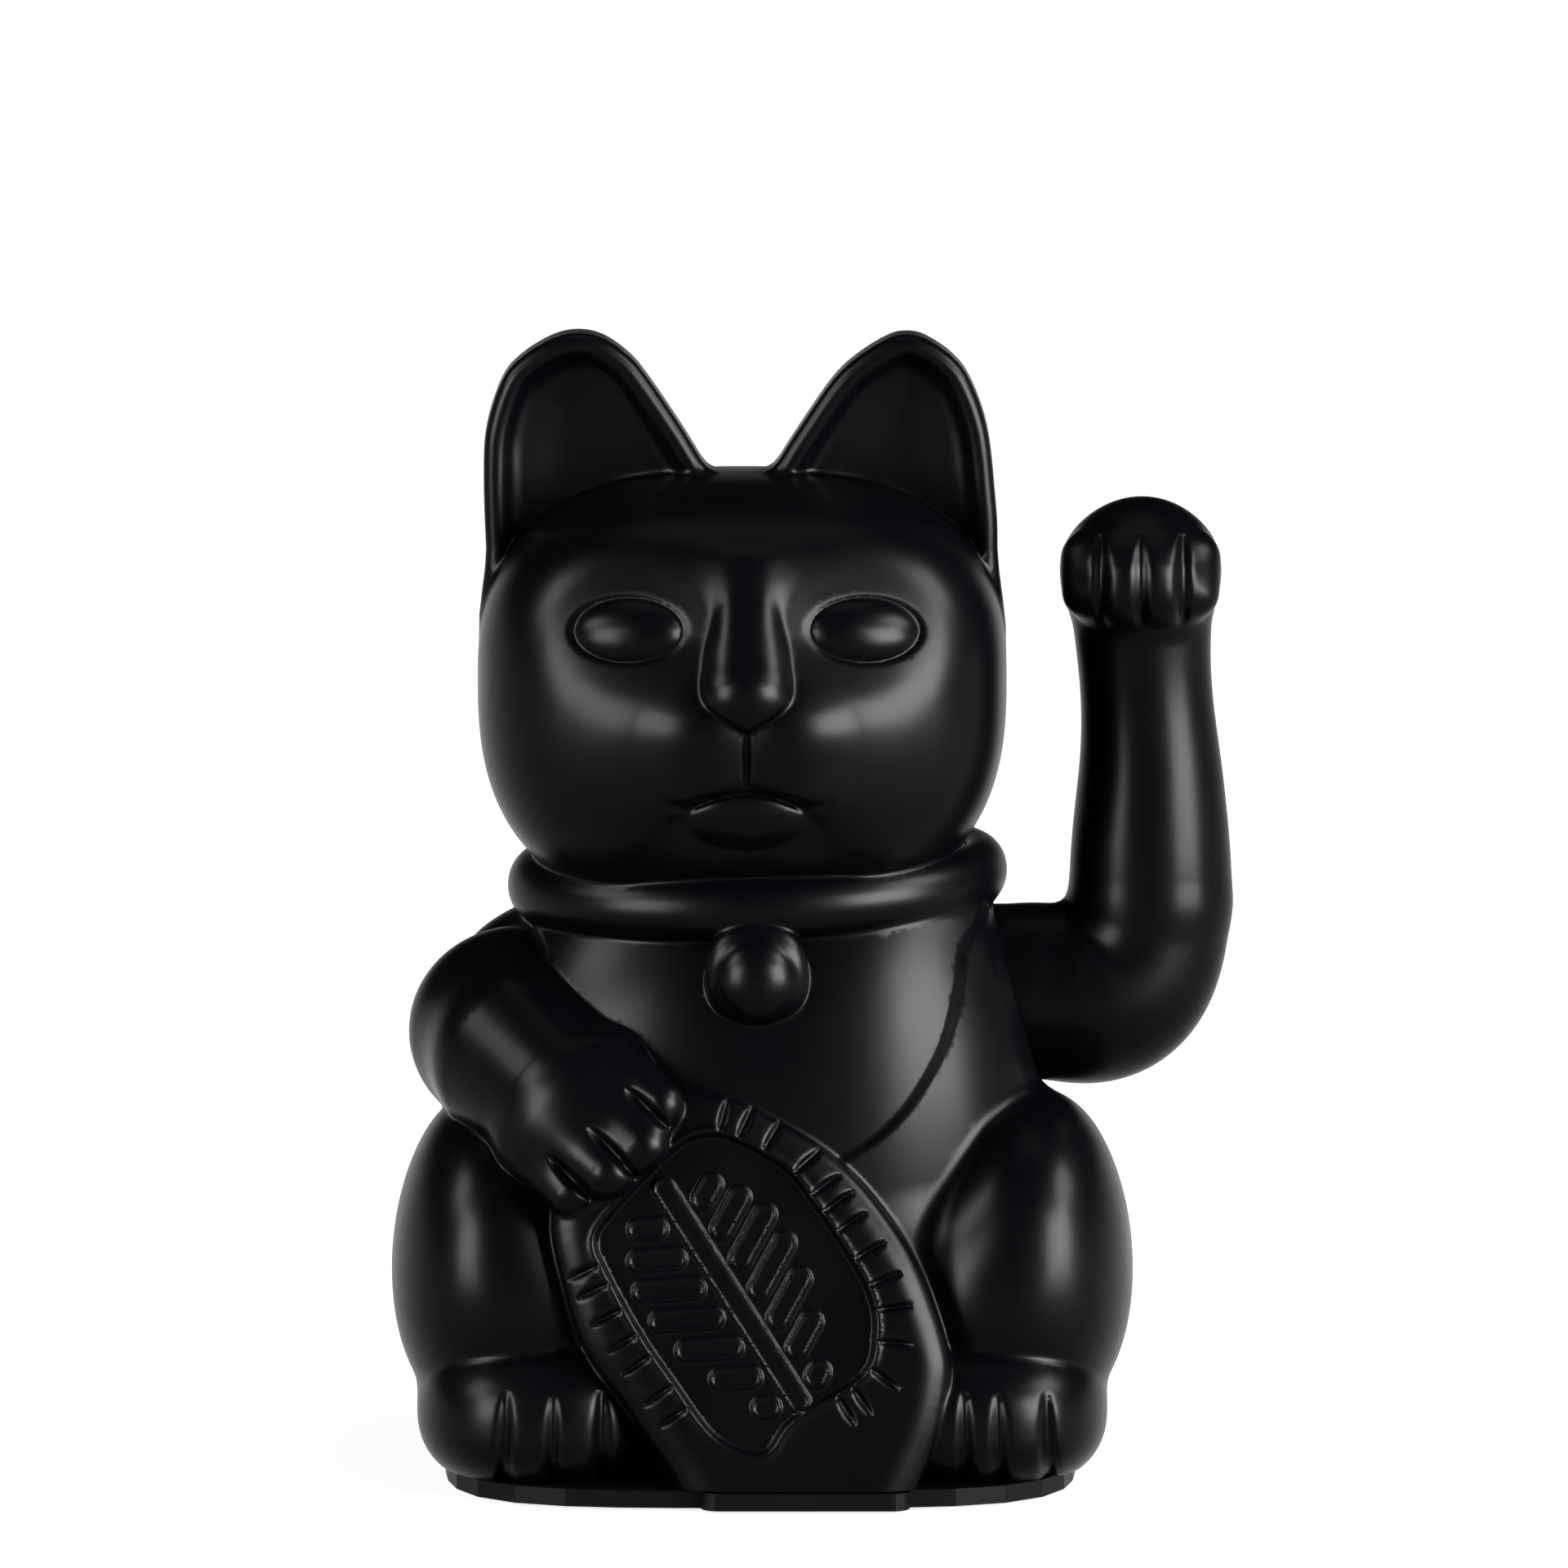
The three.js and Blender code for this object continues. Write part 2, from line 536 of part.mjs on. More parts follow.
// ---------------------------------------------------------------- wires, held whole inside
const WIRE_RADIUS = 0.6;
const plusWire = [
  [28.2, 3.8, 9.4],
  [25, 1.5, 9],
  [16, -10, 7.5],
  [0, -20, 7],
  [-12, -18, 8],
  [-16, -12, 8.2],
];
const switchWire = [
  [-22, -16, 8.4],
  [-19, -19, 12],
  [-9, -14, 20],
  [-3, -10, 24.5],
  [0.5, -7, 24.6],
];
const minusWire = [
  [-28.2, 3.8, 9.4],
  [-27, 0, 11],
  [-20, -2, 18],
  [-14.5, 2, 24],
  [-7, 12.5, 25.4],
  [-0.5, 13, 24.8],
];
const wires = new THREE.Group();
wires.add(piece("battery_plus_wire", wireAlong(plusWire, WIRE_RADIUS), WIRE_RED));
wires.add(piece("switch_wire", wireAlong(switchWire, WIRE_RADIUS), WIRE_RED));
wires.add(piece("battery_minus_wire", wireAlong(minusWire, WIRE_RADIUS), WIRE_BLACK));

// ---------------------------------------------------------------- swinging group: arm and pendulum
// Everything here turns about X, and is measured from a point on the axle's line.
const swing = new THREE.Group();
swing.position.set(0, SEAM_Y, SHOULDER_Z);

const ELBOW = { at: [49.4, 0, 0.4], half: [12.2, 12, 12.4] };
const PAW = { at: [PAW_X - 0.2, -3.5, 57], half: [10.3, 11.5, 8.8], power: 2.3 };
const FOREARM = [
  [10.4, 0],
  [10.8, 11],
  [10.2, 22],
  [9.1, 33],
  [8.6, 41],
  [9, 49],
  [9.6, 56],
];

function forearm(inset, sides) {
  const profile = FOREARM.map(([radius, height]) => [radius - inset, height]);
  return turned([[0, 0], ...profile, [0, FOREARM.at(-1)[1]]], sides).translate(PAW_X + 1, 0, 0);
}

function armVolume(inset, sides) {
  const start = STUB_START_X - (inset ? 2 : 0);
  return join(
    bar(STUB_RADIUS - inset, [start, 0, 0], ELBOW.at[0] - start, X_AXIS, sides),
    mass(ELBOW, inset, sides),
    forearm(inset, sides),
    mass(PAW, inset, sides),
  );
}

const arm = armVolume(0, 22).subtract(armVolume(ARM_WALL, 14));
swing.add(piece("arm_front_shell", arm.intersect(solidOf(frontHalf(0))), SATIN_BLACK));
swing.add(piece("arm_rear_shell", arm.intersect(solidOf(rearHalf(0))), SATIN_BLACK));

const hub = cut(
  join(
    bar(STUB_RADIUS - ARM_WALL - 2 * GAP, [STUB_START_X + 0.4, 0, 0], 2.4, X_AXIS),
    bar(4.5, [STUB_START_X + 0.4, 0, 0], 7, X_AXIS),
  ),
  bar(AXLE_RADIUS + GAP, [STUB_START_X - 2, 0, 0], 8, X_AXIS),
);
swing.add(piece("arm_hub", hub, GREY_PLASTIC));
swing.add(piece("pivot_axle", bar(AXLE_RADIUS, [AXLE_START_X, 0, 0], AXLE_END_X - AXLE_START_X, X_AXIS), STEEL));
const clip = cut(join(bar(3.1, [0, 0, 0], 0.7, X_AXIS)), bar(AXLE_RADIUS + 0.1, [-1, 0, 0], 3, X_AXIS));
swing.add(piece("axle_clip", clip, SPRING_STEEL, [AXLE_START_X + 0.5, 0, 0]));

const MAGNET_TOP = MAGNET_BOTTOM_Z + MAGNET_HEIGHT - SHOULDER_Z;
const WEIGHT_HALF_WIDTH = 7;
const WEIGHT_HEIGHT = 12;

function pendulumLever() {
  const lever = join(
    bar(5, [-4, 0, 0], 8, X_AXIS),
    block([-1.2, -4, MAGNET_TOP + GAP], [1.2, 4, 0]),
    bar(MAGNET_RADIUS, [0, BALANCE_SHIFT_Y, MAGNET_TOP + GAP], 1.4),
  );
  return cut(lever, bar(AXLE_RADIUS + GAP, [-6, 0, 0], 14, X_AXIS));
}

swing.add(piece("pendulum_lever", pendulumLever(), GREY_PLASTIC, [PENDULUM_X, 0, 0]));
const magnet = bar(MAGNET_RADIUS, [0, 0, MAGNET_TOP - MAGNET_HEIGHT], MAGNET_HEIGHT);
swing.add(piece("drive_magnet", magnet, MAGNET_NICKEL, [PENDULUM_X, BALANCE_SHIFT_Y, 0]));
for (const [name, side] of [["left", -1], ["right", 1]]) {
  const near = 1.2 + GAP;
  const far = 7.4;
  const low = MAGNET_TOP + 2;
  const weight = block(
    [Math.min(side * near, side * far), -WEIGHT_HALF_WIDTH, low],
    [Math.max(side * near, side * far), WEIGHT_HALF_WIDTH, low + WEIGHT_HEIGHT],
  );
  swing.add(piece(`counterweight_${name}`, weight, STEEL, [PENDULUM_X, BALANCE_SHIFT_Y, 0]));
}

// ---------------------------------------------------------------- the figurine
const figurine = new THREE.Group();
figurine.add(shells, base, drive, wires, swing);

export default figurine;
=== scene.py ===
"""A beckoning cat figurine in satin black plastic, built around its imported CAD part.

The two body shells and the two halves of the raised arm are described as distance fields,
negative inside the plastic, and turned into fine meshes here. The pieces inside the cat and
the base keep their CAD meshes and get materials. Lengths are in millimetres until a mesh
is made, in the part's frame: +Z is up and the cat faces -Y.
"""
import json
import math

import bmesh
import bpy
import numpy as np
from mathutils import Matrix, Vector


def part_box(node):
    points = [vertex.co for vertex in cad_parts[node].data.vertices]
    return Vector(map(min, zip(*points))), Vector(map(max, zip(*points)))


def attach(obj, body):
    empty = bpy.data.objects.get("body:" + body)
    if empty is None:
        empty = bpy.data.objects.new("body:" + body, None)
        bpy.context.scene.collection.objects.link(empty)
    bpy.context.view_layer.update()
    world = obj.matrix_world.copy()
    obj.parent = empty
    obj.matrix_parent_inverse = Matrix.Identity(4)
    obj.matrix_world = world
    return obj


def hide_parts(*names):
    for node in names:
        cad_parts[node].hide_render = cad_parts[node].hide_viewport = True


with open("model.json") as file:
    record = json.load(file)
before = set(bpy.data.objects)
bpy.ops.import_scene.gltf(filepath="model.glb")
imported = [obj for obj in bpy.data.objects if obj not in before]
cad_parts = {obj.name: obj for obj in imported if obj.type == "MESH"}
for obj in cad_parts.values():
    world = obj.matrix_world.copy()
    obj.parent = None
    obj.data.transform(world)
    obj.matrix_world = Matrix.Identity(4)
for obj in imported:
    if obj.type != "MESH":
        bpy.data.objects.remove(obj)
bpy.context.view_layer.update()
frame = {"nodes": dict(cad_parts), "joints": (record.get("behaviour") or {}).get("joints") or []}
MM = 0.001


def box_of(node):
    """Lowest and highest corner of a CAD node, in millimetres."""
    low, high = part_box(node)
    return np.array(low) / MM, np.array(high) / MM


def middle_of(node):
    low, high = box_of(node)
    return (low + high) / 2


# ------------------------------------------------------------------ places taken from the frame
FRONT_LOW, FRONT_HIGH = box_of("front_shell")
REAR_LOW = box_of("rear_shell")[0]
SEAM_Y = (FRONT_HIGH[1] + REAR_LOW[1]) / 2
HALF_SEAM = (REAR_LOW[1] - FRONT_HIGH[1]) / 2
FLOOR_Z = FRONT_LOW[2]  # underside of the shells
EAR_TIP_Z = FRONT_HIGH[2]
ARM_JOINT = next(j for j in frame["joints"] if j["name"] == "arm_swing")
PIVOT = np.array(ARM_JOINT["pos_m"]) / MM
HUB_END_X = box_of("arm_hub")[0][0]  # the end of the hub that is inside the body
BASE_TOP_Z = box_of("base_plate")[1][2]
CELL_MIDDLE = middle_of("battery_cell")
SCREWS = [middle_of(f"base_screw_{place}")
          for place in ("front_left", "front_right", "rear_left", "rear_right")]

WALL = 2.2  # thickness of the body shells
ARM_WALL = 1.8
HEAD_Z = EAR_TIP_Z - 45.8  # middle of the head
HEAD_X = -2.4
FACE_X = -1.8  # middle line of the face
TILT = math.radians(9)  # the camera looks down by this, and the reliefs lie on a plane square to it
EYE_LINE = HEAD_Z + 4.6  # height of the eyes on that plane


# ------------------------------------------------------------------ distance fields
def soft_min(a, b, blend):
    """Joins two fields, with a fillet where they meet."""
    share = np.clip(0.5 + 0.5 * (b - a) / blend, 0, 1)
    return b * (1 - share) + a * share - blend * share * (1 - share)


def soft_max(a, b, blend):
    """What two fields have in common, with a rounded edge."""
    return -soft_min(-a, -b, blend)


def step_up(value, width):
    """0 below zero and 1 above width, with a smooth rise between."""
    share = np.clip(value / width, 0, 1)
    return share * share * (3 - 2 * share)


def mass(p, centre, half, power=2.0, half_below=None):
    """A rounded mass. A power of 2 is an ellipsoid, and a higher one is boxier."""
    half = np.array(half, float)
    if half_below is not None:
        half = np.where(p[:, 2:3] < centre[2], np.array(half_below, float), half)
    reach = np.abs(p - np.array(centre, float)) / half
    radius = (reach**power).sum(1) ** (1 / power) + 1e-6
    slope = np.sqrt((((reach / radius[:, None]) ** (power - 1) / half) ** 2).sum(1))
    return (radius - 1) / slope


def limb(p, start, end, start_radius, end_radius):
    """A round limb with a ball at each end."""
    start, end = np.array(start, float), np.array(end, float)
    along = end - start
    share = np.clip((p - start) @ along / (along @ along), 0, 1)
    away = np.linalg.norm(p - start - share[:, None] * along, axis=1)
    return away - start_radius - (end_radius - start_radius) * share


def smooth_outline(points, steps=5):
    """A closed outline through the points, with rounded bends."""
    points = np.array(points, float)
    before, after, beyond = np.roll(points, 1, 0), np.roll(points, -1, 0), np.roll(points, -2, 0)
    made = []
    for t in np.arange(steps) / steps:
        made.append(0.5 * (2 * points + (after - before) * t
                           + (2 * before - 5 * points + 4 * after - beyond) * t**2
                           + (3 * points - before - 3 * after + beyond) * t**3))
    return np.stack(made, 1).reshape(-1, 2)


def outline_distance(u, w, outline):
    """Distance to a closed outline, negative inside it."""
    nearest = np.full(len(u), 1e9)
    inside = np.zeros(len(u), bool)
    for (u0, w0), (u1, w1) in zip(outline, np.roll(outline, -1, 0)):
        du, dw = u1 - u0, w1 - w0
        share = np.clip(((u - u0) * du + (w - w0) * dw) / (du * du + dw * dw), 0, 1)
        nearest = np.minimum(nearest, (u - u0 - share * du) ** 2 + (w - w0 - share * dw) ** 2)
        if dw:
            inside ^= ((w0 > w) != (w1 > w)) & (u < u0 + (w - w0) * du / dw)
    return np.where(inside, -1, 1) * np.sqrt(nearest)


def stroke(u, w, start, end):
    """Distance to a straight stroke, and the share of its length at the nearest point."""
    du, dw = end[0] - start[0], end[1] - start[1]
    share = np.clip(((u - start[0]) * du + (w - start[1]) * dw) / (du * du + dw * dw), 0, 1)
    return np.hypot(u - start[0] - share * du, w - start[1] - share * dw), share


def ridge(away, width):
    """1 on a line, fading to 0 about two widths away from it."""
    return np.exp(-((away / width) ** 2))


def groove(u, w, start, end, width, depth):
    """A groove with pointed ends, as a depth at each point."""
    away, share = stroke(u, w, start, end)
    here = np.clip(4 * share * (1 - share), 0, 1)
    return depth * here**0.7 * ridge(away, width * (0.5 + 0.5 * here))


def swell(u, w, centre, radii, power=2.0):
    """A low swelling: 1 at its centre and 0 outside its radii."""
    away = np.hypot((u - centre[0]) / radii[0], (w - centre[1]) / radii[1])
    return np.clip(1 - away**power, 0, 1) ** 2


def leaning(p):
    """Height on the plane that leans back by TILT."""
    return p[:, 1] * math.sin(TILT) + p[:, 2] * math.cos(TILT)


def inside_box(p, low, high):
    """Which points lie inside a box."""
    return ((p > np.array(low)) & (p < np.array(high))).all(1)


# ------------------------------------------------------------------ head
def skull(p):
    """The head without its relief, a little flatter above its middle than below it."""
    return mass(p, (HEAD_X, -1.5, HEAD_Z), (34.8, 31.5, 27.2), 2.6, half_below=(34.8, 31.5, 31))


def relief(u, depth, w, centre, half):
    """A mass set into the face: u and w lie along the face, and depth is measured out of it."""
    return mass(np.stack([u, depth, w], 1), centre, half)


EYE_SIDE = 15.5  # from the face's middle line to the middle of an eye
MOUTH_SIDE = (0, 2, 4, 6, 8, 10, 11.8)  # the mouth's line, from the middle to a corner
MOUTH_UP = (-20.8, -21.0, -21.5, -22.3, -23.1, -22.9, -22.3)  # and its height above the eyes


def face(p, head):
    """Sockets, eyes, nose, muzzle and mouth, on the front of the head.

    Both halves are alike: side is the distance from the middle line, and up the height above the eyes.
    """
    side = np.abs(p[:, 0] - FACE_X)
    up = leaning(p) - EYE_LINE
    around = ((side - 14.2) / 10.9) ** 2 + ((up - 0.8) / 8.8) ** 2
    soft = head + 2.2 * np.exp(-(around**1.5))  # with the eyes' sockets

    # the muzzle swells over the mouth and ends at an edge above the lower lip
    lip_edge = -20.6 - 1.6 * step_up(side, 11)
    falls_over = 0.9 + 0.08 * np.maximum(side - 5, 0) ** 2
    kept_up = soft_max(up, -17.5, 5)
    muzzle = 1.7 * swell(side, kept_up, (8, -13.5), (17, 13))
    muzzle += 1.5 * swell(side, kept_up, (5.2, -14.4), (10, 8.6))
    made = soft - muzzle * ridge(np.maximum(lip_edge - up, 0), falls_over)
    mouth = np.interp(side, MOUTH_SIDE, MOUTH_UP)
    lip = relief(side, head, up, (0, -1.7, -24.6), (9.4, 3.4, 4.6))
    made = soft_min(made, soft_max(lip, up - mouth, 1.0), 0.4)
    made = made + 0.6 * ridge(up - mouth, 0.75) * step_up(12.4 - side, 3)

    # each eye is a bulge with a fine groove round it
    eye = relief(side, soft, up, (EYE_SIDE, -1.3, 0), (7.3, 2.9, 4.35))
    round_eye = np.hypot((side - EYE_SIDE) / 7.0, up / 4.15)
    made = made + 0.35 * ridge((round_eye - 1.0) * 5.2, 0.55)
    made = soft_min(made, eye, 0.3)

    # the nose's bridge widens and rises downwards, to a bulb cut to a point below
    half_width = 5.0 + 1.0 * step_up(2 - up, 9)
    top = 0.3 + 3.7 * step_up(9 - up, 20) - 0.2 * np.maximum(up - 9, 0) ** 2
    flank = side / half_width
    bridge = (head - top + 3.4 * flank**3) / np.sqrt(1 + (10.2 * flank**2 / half_width) ** 2)
    bulb = relief(side, head, up, (0, -0.3, -8.8), (6.0, 5.5, 5.0))
    nose = soft_min(bridge, bulb, 1.6)
    nose = soft_max(nose, (3.5 * side - 6.5 * (up + 13.6)) / 7.4, 1.6)
    made = soft_min(made, nose, 0.5 + 2.5 * step_up(up - 1, 9))
    return made + groove(side, up, (0, -12.8), (0, -21.4), 0.5, 0.6)


LEFT_EAR = smooth_outline([  # x and z
    (-35.2, 108), (-36.1, 121), (-36.4, 131), (-36, 137.2), (-34, 143.4), (-31.4, 146.5), (-27.3, 149),
    (-23.8, 149.7), (-20.4, 148.9), (-17, 146.4), (-14.5, 143.3), (-10.4, 137.2), (-7.7, 132.8),
    (-5.2, 128.8), (-9, 120), (-16, 113),
])
RIGHT_EAR = smooth_outline([
    (30.4, 106), (31.2, 121), (30.8, 129), (29.8, 137.2), (27.6, 143.4), (25.2, 146.6), (21.8, 148.9),
    (19.2, 149.5), (16.6, 148.9), (12.6, 146.4), (9.4, 143.3), (5.2, 137.2), (2.4, 132.8), (0, 128.8),
    (4, 120), (11, 113),
])
EAR_RIM = 3.0  # width of the rim round the sunk front
EAR_EDGE = 1.7  # radius of the rim's front edge
EAR_FRONT_Y = SEAM_Y - 6.5
EAR_BACK_Y = SEAM_Y + 5.5


def ears(p):
    """(outside of the ears, their hollow inside)."""
    outline = np.where(p[:, 0] < FACE_X, outline_distance(p[:, 0], p[:, 2], LEFT_EAR),
                       outline_distance(p[:, 0], p[:, 2], RIGHT_EAR))
    flank, front = outline + EAR_EDGE, EAR_FRONT_Y - p[:, 1] + EAR_EDGE
    edge = np.hypot(np.maximum(flank, 0), np.maximum(front, 0)) + np.minimum(np.maximum(flank, front), 0)
    plate = soft_max(edge - EAR_EDGE, p[:, 1] - EAR_BACK_Y, 7.0)
    floor_y = EAR_FRONT_Y + 2.6 + 1.4 * step_up(-outline - EAR_RIM, 9)
    recess = soft_max(outline + EAR_RIM, p[:, 1] - floor_y, 2.6)
    hollow_middle = (EAR_FRONT_Y + 3.8 + EAR_BACK_Y) / 2
    hollow = np.maximum(outline + WALL + 1.2, np.abs(p[:, 1] - hollow_middle) - 1.4)
    return soft_max(plate, -recess, 1.8), hollow


# ------------------------------------------------------------------ coin
COIN_LEAN = math.radians(10)
COIN_CENTRE = np.array([-2, -36.6, FLOOR_Z + 22.4])
COIN_HALF_THICKNESS = 3.0
BAR_RADIUS = 1.35  # of the bars on the panel
COIN_OUTLINE = smooth_outline([  # x, and height on the leaning plane
    (-27.3, 32.5), (-25.6, 22), (-22.6, 13.6), (-17.8, 7), (-12.2, -1), (-7, -8), (6, -13),
    (17, -9), (22.6, 1.2), (24.7, 9.6), (24.3, 15.5), (20.5, 25.8), (14.8, 34.4),
    (9.6, 39.7), (3.2, 43.9), (-4.5, 47.5), (-13, 48.2), (-23, 42.5),
])
PANEL_OUTLINE = smooth_outline([
    (-21.7, 28.6), (-19.5, 32.4), (-12.2, 40), (-8.6, 42.3), (-4.4, 42.4), (3.2, 38.3), (7.2, 33.4),
    (11.4, 27.2), (14.4, 21.6), (15.1, 16.5), (13.4, 11), (4.3, 5.2), (1.2, 1.2), (-1.4, 0.6),
    (-6.3, 3.2), (-11.3, 9.9), (-15.9, 16.6), (-20.3, 24.6),
])
COIN_AXIS = np.array([-0.537, 0.844])  # towards the coin's upper end
COIN_MIDDLE = np.array([-3.8, 21.5])


def rim_strokes():
    """Short nicks across the coin's rim, square to the panel's edge."""
    ahead = np.roll(PANEL_OUTLINE, -1, 0)
    along = np.cumsum(np.linalg.norm(ahead - PANEL_OUTLINE, axis=1))
    first, apart, length = 2.0, 3.55, 5.0
    made = []
    for place in np.arange(first, along[-1], apart):
        i = int(np.searchsorted(along, place))
        here, edge = PANEL_OUTLINE[i], ahead[i] - PANEL_OUTLINE[i]
        out = np.array([-edge[1], edge[0]]) / np.linalg.norm(edge)
        hidden_by_paw = here[0] < -6 and here[1] > 27
        bare_end = here[1] < 8 and -9 < here[0] < 20
        if not (hidden_by_paw or bare_end):
            made.append((here + 0.2 * out, here + length * out))
    return made


def coin_bars():
    """A plain herringbone of rounded bars: a spine, and pairs that rise from it to both sides."""
    across = np.array([COIN_AXIS[1], -COIN_AXIS[0]])
    beside_spine, rise = 3.6, 0.55

    def spot(up, side):
        return COIN_MIDDLE + up * COIN_AXIS + side * across

    made = [(spot(-16.5, 0), spot(16.5, 0))]
    for up, reach in ((-15, 4.4), (-10.4, 7.0), (-5.8, 8.8), (-1.2, 9.6), (3.4, 9.4), (8, 7.8), (12.6, 5.6)):
        for side in (-1, 1):
            made.append((spot(up, beside_spine * side),
                         spot(up + rise * (reach - beside_spine), reach * side)))
    return made


RIM_STROKES = rim_strokes()
COIN_BARS = coin_bars()


def coin(p):
    """The oval coin under the lowered paw: a nicked rim round a sunk panel."""
    x, w = p[:, 0], leaning(p)
    up, back = p[:, 2] - COIN_CENTRE[2], p[:, 1] - COIN_CENTRE[1]
    out_of_plate = up * math.sin(COIN_LEAN) - back * math.cos(COIN_LEAN)
    edge = outline_distance(x, w, COIN_OUTLINE)
    panel = outline_distance(x, w, PANEL_OUTLINE)
    front = COIN_HALF_THICKNESS - 1.9 * np.clip(1 + edge / 4.6, 0, 1) ** 2
    front = front - 1.0 * step_up(-panel + 0.25, 0.9) + 0.25 * ridge(panel - 0.5, 0.45)
    for start, end in RIM_STROKES:
        front = front - groove(x, w, start, end, 0.5, 0.75)
    bars = np.full(len(p), 1e9)
    for start, end in COIN_BARS:
        bars = np.minimum(bars, stroke(x, w, start, end)[0])
    bars = bars - BAR_RADIUS
    front = front + 0.22 * step_up(-bars + 0.2, 0.4) + 0.28 * ridge(bars, 0.27)
    return soft_max(soft_max(edge, out_of_plate - front, 1.2), -out_of_plate - 6, 1.0)


# ------------------------------------------------------------------ body
COLLAR_AT = np.array([-0.4, 0.5, HEAD_Z - 26.8])
COLLAR_HALF = np.array([28.8, 26.3])
BELL_AT = np.array([-0.5, -28.2, COLLAR_AT[2] - 8.4])
BIB_OUTLINE = smooth_outline([  # x, and height on the leaning plane
    (25.9, 76), (26.7, 66), (26.2, 61), (24.9, 55.7), (22.7, 50.7), (18.7, 44.8), (13.5, 40.4),
    (6, 36.6), (-1.5, 35.4), (-9, 36.6), (-16.5, 40.4), (-21.7, 44.8), (-25.7, 50.7), (-28.2, 58),
    (-28.6, 66), (-28, 76),
])


def collar(p):
    """A round band about the neck: taller at its sides, and higher on the raised arm's side."""
    spread = np.hypot((p[:, 0] - COLLAR_AT[0]) / COLLAR_HALF[0], (p[:, 1] - COLLAR_AT[1]) / COLLAR_HALF[1])
    away = (spread - 1) * COLLAR_HALF.mean()
    side = p[:, 0] / COLLAR_HALF[0]
    up = p[:, 2] - COLLAR_AT[2] - 0.9 * side
    return np.hypot(away, up / (1.03 + 0.14 * side**2)) - 3.9


def bell(p):
    """The bell under the chin: a ball on a flat disc."""
    rim = mass(p, BELL_AT, (6.8, 3.4, 6.8), 2.4)
    ball = mass(p, BELL_AT + np.array([0, -1.2, -0.6]), (5.5, 4.6, 5.9))
    return soft_min(rim, ball, 0.5)


def trunk(p):
    """Chest, shoulder and seat. Beside the raised arm the chest ends at a leaning plane."""
    right = step_up(p[:, 0], 20)
    half = np.stack([38.2 + 1.3 * right, np.full(len(p), 32.5), 50.2 + 6.8 * right], 1)
    torso = mass(p, (-0.5, 0.5, 38), half, 2.2)
    beside_arm = (p[:, 0] - 31 + 0.268 * (p[:, 2] - 73.5)) / 1.035
    torso = np.where(p[:, 0] > 0, soft_max(torso, beside_arm, 2.5), torso)
    shoulder = mass(p, (-29, 8, 57), (13, 14, 15))
    torso = soft_min(torso, shoulder, 5)
    return soft_min(torso, mass(p, (0, 1, 16), (44.2, 35, 24), 3.2), 6)


def legs(p):
    """(thighs, feet), alike on both sides."""
    mirrored = np.stack([np.abs(p[:, 0] - 0.25), p[:, 1], p[:, 2]], 1)
    haunch = mass(mirrored, (30.8, -8, 24), (16.8, 27, 20), 2.2)
    knee = mass(mirrored, (34.7, -10, 30), (13.0, 24, 20.5), 2.2)
    foot = mass(mirrored, (28.2, -15.5, 9.5), (17.2, 24.8, 13), 2.5, half_below=(17.2, 24.8, 10.5))
    return soft_min(haunch, knee, 5), foot


TOE_GROOVES = ((-33.8, 0), (-27.5, 0.6), (-21.1, 0), (27.1, 0), (31.6, 0.4), (38.0, 0))  # x and drop
PAW_TOES = (  # start, end, and the radius at each
    ((-19.6, -29.8, 57.6), (-13.1, -35.6, 52.8), 4.2, 3.1),
    ((-21.5, -31, 52.5), (-15.4, -37.5, 47.7), 5.0, 3.5),
    ((-26.0, -31.5, 49.0), (-19.9, -38.0, 44.1), 5.0, 3.5),
    ((-30.5, -29.5, 46.6), (-24.9, -35.5, 41.0), 4.0, 3.1),
)
PAW_GROOVES = (((-17.6, 48.7), (-11.9, 43.3)), ((-22.6, 43.8), (-15.6, 36.2)), ((-28.0, 40.2), (-21.9, 33.9)))


def lowered_arm(p):
    """The arm whose paw rests on the coin: sleeve, wrist and four toes."""
    upper = mass(p, (-31.5, -4, 57.4), (14.8, 15, 13.8))
    fore = limb(p, (-31, -16, 56), (-24.5, -26, 51.2), 12.4, 11.3)
    arm = soft_min(upper, fore, 4)
    paw = np.full(len(p), 1e9)
    for start, end, start_radius, end_radius in PAW_TOES:
        paw = soft_min(paw, limb(p, start, end, start_radius, end_radius), 3.0)
    arm = soft_min(arm, paw, 3.0)
    for start, end in PAW_GROOVES:
        arm = arm + groove(p[:, 0], leaning(p), start, end, 0.8, 0.9) * step_up(-22 - p[:, 1], 4)
    return arm


def tail(p):
    """The tail, curled against the back."""
    curl = limb(p, (-15, 31, 9), (-3, 36.2, 12), 4.4, 4.6)
    tip = limb(p, (-3, 36.2, 12), (9, 34.4, 19), 4.6, 4.2)
    return soft_min(curl, tip, 2.0)


def locally(p, low, high, value, change):
    """Changes the distances at the points inside a box only."""
    near = inside_box(p, low, high)
    if near.any():
        value[near] = change(p[near], value[near])
    return value


